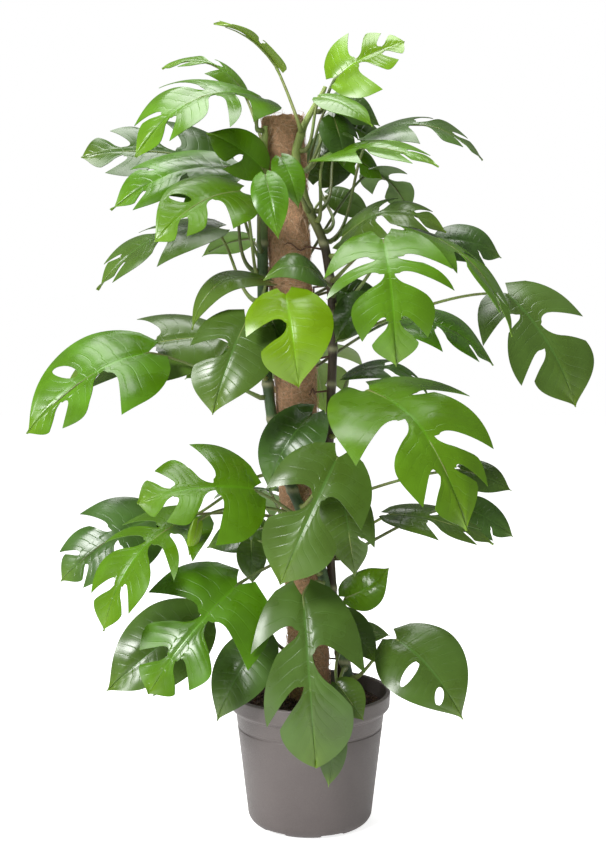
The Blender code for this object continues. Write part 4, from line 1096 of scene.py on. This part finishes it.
# Each leaf: name, vine, height of its node above the rim, then where the blade starts (bearing,
# distance out from the pole's face, height above the rim), the run from there to the tip, and the
# way the upper side looks.
LEAVES = [
    # the crown
    Leaf("leaf_01", "right", 0.58, -100, 0.000, 0.645, (-0.060, -0.040, 0.033), (0.3, -0.2, 0.93),
         half_width=0.42, fold=0.35, right=TWO, left=TWO, shade="young"),
    Leaf("leaf_02", "right", 0.60, -13, 0.034, 0.634, (0.070, 0.000, 0.036), (-0.2, -0.85, 0.5),
         half_width=0.52, right=GAPING_TWO, left=GAPING_TWO, shade="young"),
    Leaf("leaf_03", "right", 0.56, -37, 0.027, 0.612, (0.050, -0.030, -0.033), (0.2, -0.6, 0.75),
         half_width=0.30, right=WHOLE, left=WHOLE, shade="fresh"),
    # upper left
    Leaf("leaf_04", "back", 0.55, 122, 0.059, 0.638, (-0.085, 0.000, 0.020), (-0.3, -0.40, 0.85),
         half_width=0.30, arch=0.22, right=GAPING, left=GAPING_TWO, shade="fresh"),
    Leaf("leaf_05", "front", 0.58, -129, 0.015, 0.613, (-0.116, -0.060, -0.067), (-0.15, -0.6, 0.78),
         half_width=0.40, arch=0.20, right=TWO, left=FINGERS, shade="fresh"),
    Leaf("leaf_06", "back", 0.44, 149, 0.055, 0.550, (-0.146, -0.020, 0.008), (0.0, -0.75, 0.65),
         half_width=0.38, arch=0.12, right=GAPING_TWO, left=WIDE_TWO, shade="shaded"),
    Leaf("leaf_07", "front", 0.44, -161, 0.038, 0.545, (-0.116, -0.030, -0.046), (-0.1, -0.7, 0.7),
         half_width=0.33, arch=0.12, right=ONE, left=TWO, shade="fresh"),
    Leaf("leaf_08", "front", 0.43, -125, 0.056, 0.516, (-0.079, -0.050, -0.053), (-0.1, -0.75, 0.65),
         half_width=0.42, arch=0.15, right=PIERCED, left=GAPING_TWO, shade="fresh"),
    Leaf("leaf_09", "front", 0.46, -101, 0.075, 0.528, (0.013, -0.020, -0.062), (0.0, -0.95, 0.3),
         half_width=0.27, arch=0.12, right=WHOLE, left=WHOLE, shade="fresh"),
    Leaf("leaf_10", "front", 0.505, -120, 0.023, 0.541, (-0.055, -0.005, 0.034), (-0.2, -0.8, 0.6),
         half_width=0.42, arch=0.12, right=WHOLE, left=LOW_ONE, shade="fresh"),
    Leaf("leaf_11", "right", 0.50, -93, 0.035, 0.549, (0.017, -0.010, -0.050), (0.2, -0.9, 0.4),
         half_width=0.30, arch=0.15, right=WHOLE, left=WHOLE, shade="fresh"),
    Leaf("leaf_12", "front", 0.41, 173, 0.056, 0.485, (-0.120, -0.010, -0.064), (-0.35, -0.55, 0.75),
         half_width=0.30, arch=0.15, right=TWO, left=TWO, shade="mature"),
    Leaf("leaf_13", "back", 0.40, 114, 0.086, 0.480, (-0.053, 0.010, -0.020), (0.0, 0.5, 0.8),
         half_width=0.35, right=WHOLE, left=WHOLE, shade="fresh"),
    # upper right
    Leaf("leaf_14", "right", 0.47, 12, 0.072, 0.583, (0.113, -0.010, -0.029), (0.15, -0.4, 0.9),
         half_width=0.40, arch=0.20, right=GAPING_TWO, left=WIDE_TWO, shade="mature"),
    Leaf("leaf_15", "right", 0.49, -45, 0.034, 0.553, (0.108, -0.060, -0.018), (0.1, -0.45, 0.9),
         half_width=0.32, arch=0.12, right=TWO, left=TWO, shade="fresh"),
    Leaf("leaf_16", "back", 0.43, 33, 0.086, 0.548, (0.043, 0.020, -0.042), (0.4, 0.65, 0.6),
         half_width=0.42, arch=0.20, right=GAPING, left=GAPING, shade="mature"),
    Leaf("leaf_17", "right", 0.455, -19, 0.037, 0.475, (0.102, -0.020, 0.002), (0.0, -0.55, 0.85),
         half_width=0.38, arch=0.25, right=TWO, left=TWO, shade="mature"),
    Leaf("leaf_18", "right", 0.43, -50, 0.119, 0.466, (0.010, -0.040, -0.119), (0.0, -0.85, 0.5),
         half_width=0.46, arch=0.20, right=FINGERS, left=FINGERS, shade="fresh"),
    Leaf("leaf_19", "right", 0.405, -18, 0.107, 0.482, (0.096, -0.040, -0.109), (0.55, -0.3, 0.78),
         half_width=0.30, arch=0.15, right=TWO, left=TWO, shade="fresh"),
    Leaf("leaf_20", "back", 0.40, 7, 0.136, 0.473, (0.067, 0.010, -0.018), (0.1, -0.8, 0.6),
         half_width=0.38, arch=0.15, right=ONE, left=WHOLE, shade="mature"),
    Leaf("leaf_21", "right", 0.37, -3, 0.200, 0.416, (0.066, -0.030, -0.114), (0.2, -0.85, 0.45),
         half_width=0.42, arch=0.12, right=FAR_TWO, left=GAPING, shade="mature"),
    Leaf("leaf_22", "back", 0.33, 10, 0.091, 0.392, (0.098, -0.010, -0.050), (0.2, -0.5, 0.85),
         half_width=0.35, arch=0.15, right=TWO, left=WHOLE, shade="fresh"),
    Leaf("leaf_23", "right", 0.375, -25, 0.060, 0.412, (-0.030, 0.000, -0.045), (0.0, -0.9, 0.4),
         half_width=0.38, right=WHOLE, left=WHOLE, shade="shaded"),
    # middle left
    Leaf("leaf_24", "front", 0.31, -165, 0.129, 0.357, (-0.116, -0.040, -0.079), (-0.25, -0.75, 0.6),
         half_width=0.40, arch=0.14, right=PIERCED, left=GAPING_TWO, shade="fresh"),
    Leaf("leaf_25", "back", 0.30, 168, 0.066, 0.372, (-0.150, -0.005, -0.052), (-0.1, -0.6, 0.8),
         half_width=0.34, right=GAPING_TWO, left=TWO, arch=0.12, shade="mature"),
    Leaf("leaf_26", "front", 0.40, -118, 0.033, 0.430, (-0.070, -0.020, -0.050), (-0.45, -0.55, 0.7),
         half_width=0.28, arch=0.30, right=WHOLE, left=WHOLE, shade="mature"),
    Leaf("leaf_27", "front", 0.33, -119, 0.068, 0.390, (-0.032, -0.030, -0.091), (-0.1, -0.9, 0.35),
         half_width=0.42, arch=0.12, right=GAPING, left=WHOLE, shade="mature"),
    Leaf("leaf_28", "front", 0.34, -104, 0.056, 0.388, (0.026, -0.010, -0.060), (0.1, -0.93, 0.35),
         half_width=0.34, right=WHOLE, left=WHOLE, shade="mature"),
    Leaf("leaf_29", "front", 0.36, -93, 0.068, 0.414, (0.013, -0.020, -0.089), (0.0, -0.9, 0.45),
         half_width=0.46, arch=0.18, right=GAPING, left=WHOLE, shade="young"),
    Leaf("leaf_30", "right", 0.415, -64, 0.049, 0.432, (-0.057, -0.015, -0.004), (0.0, -0.7, 0.7),
         half_width=0.36, arch=0.30, right=WHOLE, left=WHOLE, shade="mature"),
    # middle right
    Leaf("leaf_31", "right", 0.30, -27, 0.042, 0.335, (0.079, 0.000, -0.024), (0.0, -0.4, 0.9),
         half_width=0.25, arch=0.25, right=TWO, left=TWO, shade="mature"),
    Leaf("leaf_32", "right", 0.27, -51, 0.092, 0.322, (0.086, -0.080, -0.126), (0.15, -0.7, 0.7),
         half_width=0.42, arch=0.22, right=WIDE_TWO, left=THREE, shade="fresh"),
    Leaf("leaf_33", "right", 0.20, -11, 0.146, 0.237, (0.050, -0.010, -0.020), (0.0, -0.85, 0.5),
         half_width=0.33, right=WHOLE, left=WHOLE, shade="mature"),
    Leaf("leaf_34", "right", 0.15, -29, 0.081, 0.194, (0.101, -0.020, -0.028), (0.1, -0.5, 0.85),
         half_width=0.24, right=TWO, left=TWO, shade="mature"),
    Leaf("leaf_35", "right", 0.14, -7, 0.144, 0.198, (0.054, 0.000, -0.032), (0.1, -0.85, 0.5),
         half_width=0.33, right=ONE, left=WHOLE, shade="mature"),
    # front of the pole
    Leaf("leaf_36", "front", 0.24, -73, 0.030, 0.295, (-0.043, 0.000, -0.080), (-0.35, -0.85, 0.35),
         half_width=0.38, arch=0.20, right=WHOLE, left=WHOLE, shade="mature"),
    Leaf("leaf_37", "front", 0.20, -70, 0.088, 0.257, (-0.055, -0.030, -0.119), (0.0, -0.9, 0.4),
         half_width=0.36, arch=0.08, right=GAPING, left=GAPING, shade="mature"),
    Leaf("leaf_38", "front", 0.16, -56, 0.050, 0.220, (0.014, -0.015, -0.085), (0.1, -0.95, 0.3),
         half_width=0.32, right=WHOLE, left=ONE, shade="mature"),
    Leaf("leaf_39", "right", 0.07, 0, 0.020, 0.098, (0.045, 0.000, 0.032), (-0.3, -0.8, 0.4),
         half_width=0.42, arch=-0.2, right=WHOLE, left=WHOLE, shade="fresh"),
    # lower left
    Leaf("leaf_40", "front", 0.19, -118, 0.076, 0.224, (-0.110, -0.030, -0.010), (-0.05, -0.7, 0.7),
         half_width=0.54, right=GAPING_TWO, left=GAPING_TWO, shade="fresh"),
    Leaf("leaf_41", "front", 0.23, -148, 0.108, 0.194, (-0.080, -0.050, -0.104), (-0.35, -0.65, 0.68),
         half_width=0.36, arch=0.20, right=FINGERS, left=FINGERS, shade="fresh"),
    Leaf("leaf_42", "back", 0.17, -173, 0.135, 0.184, (-0.090, -0.020, -0.061), (-0.2, -0.85, 0.5),
         half_width=0.42, arch=0.15, right=TWO, left=TWO, shade="mature"),
    Leaf("leaf_43", "front", 0.15, -130, 0.081, 0.128, (-0.085, -0.040, -0.100), (-0.1, -0.85, 0.5),
         half_width=0.46, right=GAPING_TWO, left=GAPING_TWO, shade="fresh"),
    Leaf("leaf_44", "back", 0.08, -165, 0.092, 0.083, (-0.093, -0.030, -0.069), (-0.1, -0.9, 0.4),
         half_width=0.36, right=WHOLE, left=ONE, shade="mature"),
    # over the pot's rim
    Leaf("leaf_45", "front", 0.12, -91, RIM_RADIUS - 0.008, 0.120, (0.012, -0.035, -0.159), (0.0, -0.9, 0.4),
         half_width=0.32, arch=0.12, right=FAR_TWO, left=GAPING, sweep=0.16, shade="mature"),
    Leaf("leaf_46", "front", 0.05, -74, RIM_RADIUS - 0.005, 0.033, (0.025, -0.010, -0.034), (0.1, -0.95, 0.2),
         half_width=0.42, right=WHOLE, left=WHOLE, shade="mature"),
    Leaf("leaf_47", "front", 0.03, -79, RIM_RADIUS + 0.008, -0.007, (-0.005, -0.005, -0.057), (0.2, -0.95, 0.2),
         half_width=0.26, right=WHOLE, left=WHOLE, shade="mature"),
    Leaf("leaf_48", "front", 0.07, -56, 0.037, 0.092, (0.038, -0.020, -0.047), (0.1, -0.85, 0.5),
         half_width=0.30, right=WHOLE, left=WHOLE, shade="shaded"),
    Leaf("leaf_49", "front", 0.02, -38, RIM_RADIUS + 0.006, 0.070, (0.063, -0.040, -0.070), (0.15, -0.85, 0.5),
         half_width=0.44, arch=0.20, right=PIERCED_TWO, left=WHOLE, shade="mature"),
    Leaf("leaf_50", "back", 0.03, -130, RIM_RADIUS - 0.037, 0.066, (-0.045, -0.020, -0.078), (-0.3, -0.9, 0.3),
         half_width=0.34, arch=0.15, right=WHOLE, left=WHOLE, shade="mature"),
    # behind the pole
    Leaf("leaf_51", "back", 0.30, 80, 0.070, 0.360, (0.020, 0.090, -0.080), (0.0, 0.7, 0.7),
         half_width=0.42, arch=0.15, right=WIDE_TWO, left=TWO, shade="mature"),
    Leaf("leaf_52", "back", 0.14, 110, 0.080, 0.200, (-0.030, 0.100, -0.060), (-0.1, 0.6, 0.8),
         half_width=0.42, arch=0.15, right=TWO, left=WIDE_TWO, shade="mature"),
]

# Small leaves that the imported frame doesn't have.
SMALL_LEAVES = [
    Leaf("small_leaf_01", "right", 0.02, 46, 0.046, 0.050, (0.043, 0.010, -0.007), (0.0, -0.6, 0.8),
         half_width=0.34, right=WHOLE, left=WHOLE, shade="mature"),
    Leaf("small_leaf_02", "back", 0.13, 155, 0.024, 0.169, (-0.060, 0.010, -0.023), (0.0, -0.8, 0.6),
         half_width=0.34, right=WHOLE, left=WHOLE, shade="shaded"),
    Leaf("small_leaf_03", "front", 0.13, -151, 0.038, 0.163, (0.001, 0.000, -0.044), (0.0, -0.9, 0.4),
         half_width=0.36, right=WHOLE, left=WHOLE, shade="mature"),
    Leaf("small_leaf_04", "back", 0.30, 156, 0.051, 0.356, (-0.049, 0.000, -0.029), (-0.1, -0.8, 0.5),
         half_width=0.34, right=WHOLE, left=WHOLE, shade="fresh"),
    Leaf("small_leaf_05", "right", 0.50, 40, 0.055, 0.568, (0.045, 0.010, -0.028), (0.1, -0.8, 0.6),
         half_width=0.36, right=LOW_ONE, left=WHOLE, shade="fresh"),
    Leaf("small_leaf_06", "back", 0.44, 65, 0.087, 0.527, (0.047, 0.020, -0.023), (0.0, -0.8, 0.5),
         half_width=0.34, right=WHOLE, left=WHOLE, shade="mature"),
    Leaf("small_leaf_07", "right", 0.48, 60, 0.050, 0.540, (0.030, 0.010, 0.063), (-0.2, -0.85, 0.3),
         half_width=0.42, right=LOW_ONE, left=WHOLE, shade="shaded"),
    Leaf("small_leaf_08", "right", 0.54, 45, 0.047, 0.600, (0.065, 0.015, -0.030), (0.1, -0.7, 0.7),
         half_width=0.42, right=TWO, left=WHOLE, shade="shaded"),
    Leaf("small_leaf_09", "back", 0.40, 21, 0.031, 0.421, (0.052, 0.010, -0.029), (0.0, -0.8, 0.5),
         half_width=0.40, right=WHOLE, left=WHOLE, shade="shaded"),
    Leaf("small_leaf_10", "front", 0.19, -132, 0.126, 0.196, (-0.009, -0.005, -0.033), (0.3, -0.9, 0.2),
         half_width=0.22, curl=1.3, right=WHOLE, left=WHOLE, shade="young"),
    Leaf("small_leaf_11", "right", 0.54, -40, 0.044, 0.590, (0.010, -0.008, -0.048), (0.3, -0.9, 0.3),
         half_width=0.40, right=WHOLE, left=LOW_ONE, shade="shaded"),
    Leaf("small_leaf_12", "back", 0.52, 40, 0.050, 0.622, (0.048, 0.010, -0.026), (0.1, -0.8, 0.5),
         half_width=0.38, right=WHOLE, left=WHOLE, shade="mature"),
]


class PLANT_OT_leaves(bpy.types.Operator):
    """Grow every leaf: a slit, veined blade on its own petiole"""

    bl_idname = "plant.leaves"
    bl_label = "Leaves"

    def execute(self, context):
        settings = context.scene.plant_leaves
        petiole = petiole_material()
        skins = {}
        for shade in ("young", "fresh", "mature", "shaded"):
            green = tuple(getattr(settings, shade))
            skins[shade] = [
                blade_material(shade + "_blade", green, False),
                blade_material(shade + "_underside", green, True),
            ]
        for leaf in LEAVES + SMALL_LEAVES:
            sheet = blade_bmesh(leaf, settings)
            blade = piece_from(leaf.name + "_sheet", sheet, skins[leaf.shade], smooth=0)
            skin = blade.modifiers.new("thickness", "SOLIDIFY")
            skin.thickness = settings.thickness
            skin.offset = 0
            skin.material_offset = 1
            skin.material_offset_rim = 0
            mesh = take_mesh(blade)
            mesh.shade_smooth()
            mesh.set_sharp_from_angle(angle=math.radians(50))
            made = as_piece(leaf.name + "_grown", mesh)
            tube = tubes_mesh(leaf.name + "_stalk", [petiole_run(leaf, settings)], 3)
            stalk = as_piece(leaf.name + "_stalk", tube, [petiole])
            joined(made, [stalk])
            mark(made.data, "tone", [leaf.rng.random()] * len(made.data.vertices))
            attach(made, "root")
            if leaf in LEAVES:
                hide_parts(leaf.name)
        return {"FINISHED"}


# ---- Stage --------------------------------------------------------------------------------------


PLANT_MIDDLE = (0, 0, 0.45)
CAMERA_PLACE = (-0.0074, -1.4, 0.53)
CAMERA_DIP = 4.47  # degrees below level
LENS, SENSOR = 57.0, 36  # millimetres


def soft_light(name, place, size, power, gloss):
    """A round lamp turned to the middle of the plant; gloss is its share in reflections."""
    lamp = bpy.data.lights.new(name, "AREA")
    lamp.shape = "DISK"
    lamp.size = size
    lamp.energy = power
    lamp.specular_factor = gloss
    obj = bpy.data.objects.new(name, lamp)
    bpy.context.scene.collection.objects.link(obj)
    obj.location = place
    obj.rotation_euler = (Vector(PLANT_MIDDLE) - Vector(place)).to_track_quat("-Z", "Y").to_euler()


class PLANT_OT_stage(bpy.types.Operator):
    """Set the pale floor, the soft lights and the camera"""

    bl_idname = "plant.stage"
    bl_label = "Stage"

    def execute(self, context):
        scene, stage = context.scene, context.scene.plant_stage
        bm = bmesh.new()
        bmesh.ops.create_grid(bm, x_segments=1, y_segments=1, size=6)
        finish, tree, shader = new_material("floor_paint", 0.9)
        shader.inputs["Base Color"].default_value = (*stage.floor, 1)
        shader.inputs["Emission Strength"].default_value = 1
        seen = add_node(tree, "ShaderNodeLightPath").outputs["Is Camera Ray"]
        glow = mixed(tree, seen, scaled(stage.floor, stage.glow), scaled(stage.floor, 0.9))
        tree.links.new(glow, shader.inputs["Emission Color"])
        piece_from("floor", bm, [finish], smooth=0)
        soft_light("key", (-1.4, -1.6, 1.7), 0.9, stage.key_power, 1.0)
        soft_light("top", (-0.2, 0.3, 2.5), 1.6, stage.top_power, 0.35)
        world = bpy.data.worlds.new("studio")
        world.use_nodes = True
        tree = world.node_tree
        sky = tree.nodes["Background"]
        sky.inputs["Color"].default_value = (1, 1, 1, 1)
        seen = add_node(tree, "ShaderNodeLightPath").outputs["Is Camera Ray"]
        tree.links.new(ramp(tree, seen, 0, 1, stage.sky, 1.0), sky.inputs["Strength"])
        scene.world = world
        scene.view_settings.view_transform = "Standard"
        lens = bpy.data.cameras.new("camera")
        lens.sensor_fit = "VERTICAL"
        lens.sensor_height = SENSOR
        lens.lens = LENS
        camera = bpy.data.objects.new("camera", lens)
        scene.collection.objects.link(camera)
        camera.location = CAMERA_PLACE
        camera.rotation_euler = (math.radians(90 - CAMERA_DIP), 0, 0)
        scene.camera = camera
        return {"FINISHED"}


# ---- Panel and run ------------------------------------------------------------------------------

OPERATORS = (PLANT_OT_pot, PLANT_OT_soil, PLANT_OT_pole, PLANT_OT_vines, PLANT_OT_leaves, PLANT_OT_stage)


class PLANT_PT_panel(bpy.types.Panel):
    """Lists the plant's settings and the button that builds each group of pieces"""

    bl_idname = "PLANT_PT_panel"
    bl_label = "Mini monstera"
    bl_space_type = "VIEW_3D"
    bl_region_type = "UI"
    bl_category = "Plant"

    def draw(self, context):
        for operator, label in zip(OPERATORS, SETTINGS):
            box = self.layout.box()
            settings = getattr(context.scene, label)
            for name in settings.bl_rna.properties.keys():
                if name not in ("rna_type", "name"):
                    box.prop(settings, name)
            box.operator(operator.bl_idname)


CLASSES = (*SETTINGS.values(), *OPERATORS, PLANT_PT_panel)


def register():
    for made in CLASSES:
        bpy.utils.register_class(made)
    for label, kind in SETTINGS.items():
        setattr(bpy.types.Scene, label, PointerProperty(type=kind))


def unregister():
    for label in SETTINGS:
        delattr(bpy.types.Scene, label)
    for made in reversed(CLASSES):
        bpy.utils.unregister_class(made)


def main():
    register()
    GROUPS.update(grain=grain_group(), blade=blade_group())
    for operator in (bpy.ops.plant.pot, bpy.ops.plant.soil, bpy.ops.plant.pole, bpy.ops.plant.vines,
                     bpy.ops.plant.leaves, bpy.ops.plant.stage):
        operator()


if __name__ == "__main__":
    main()
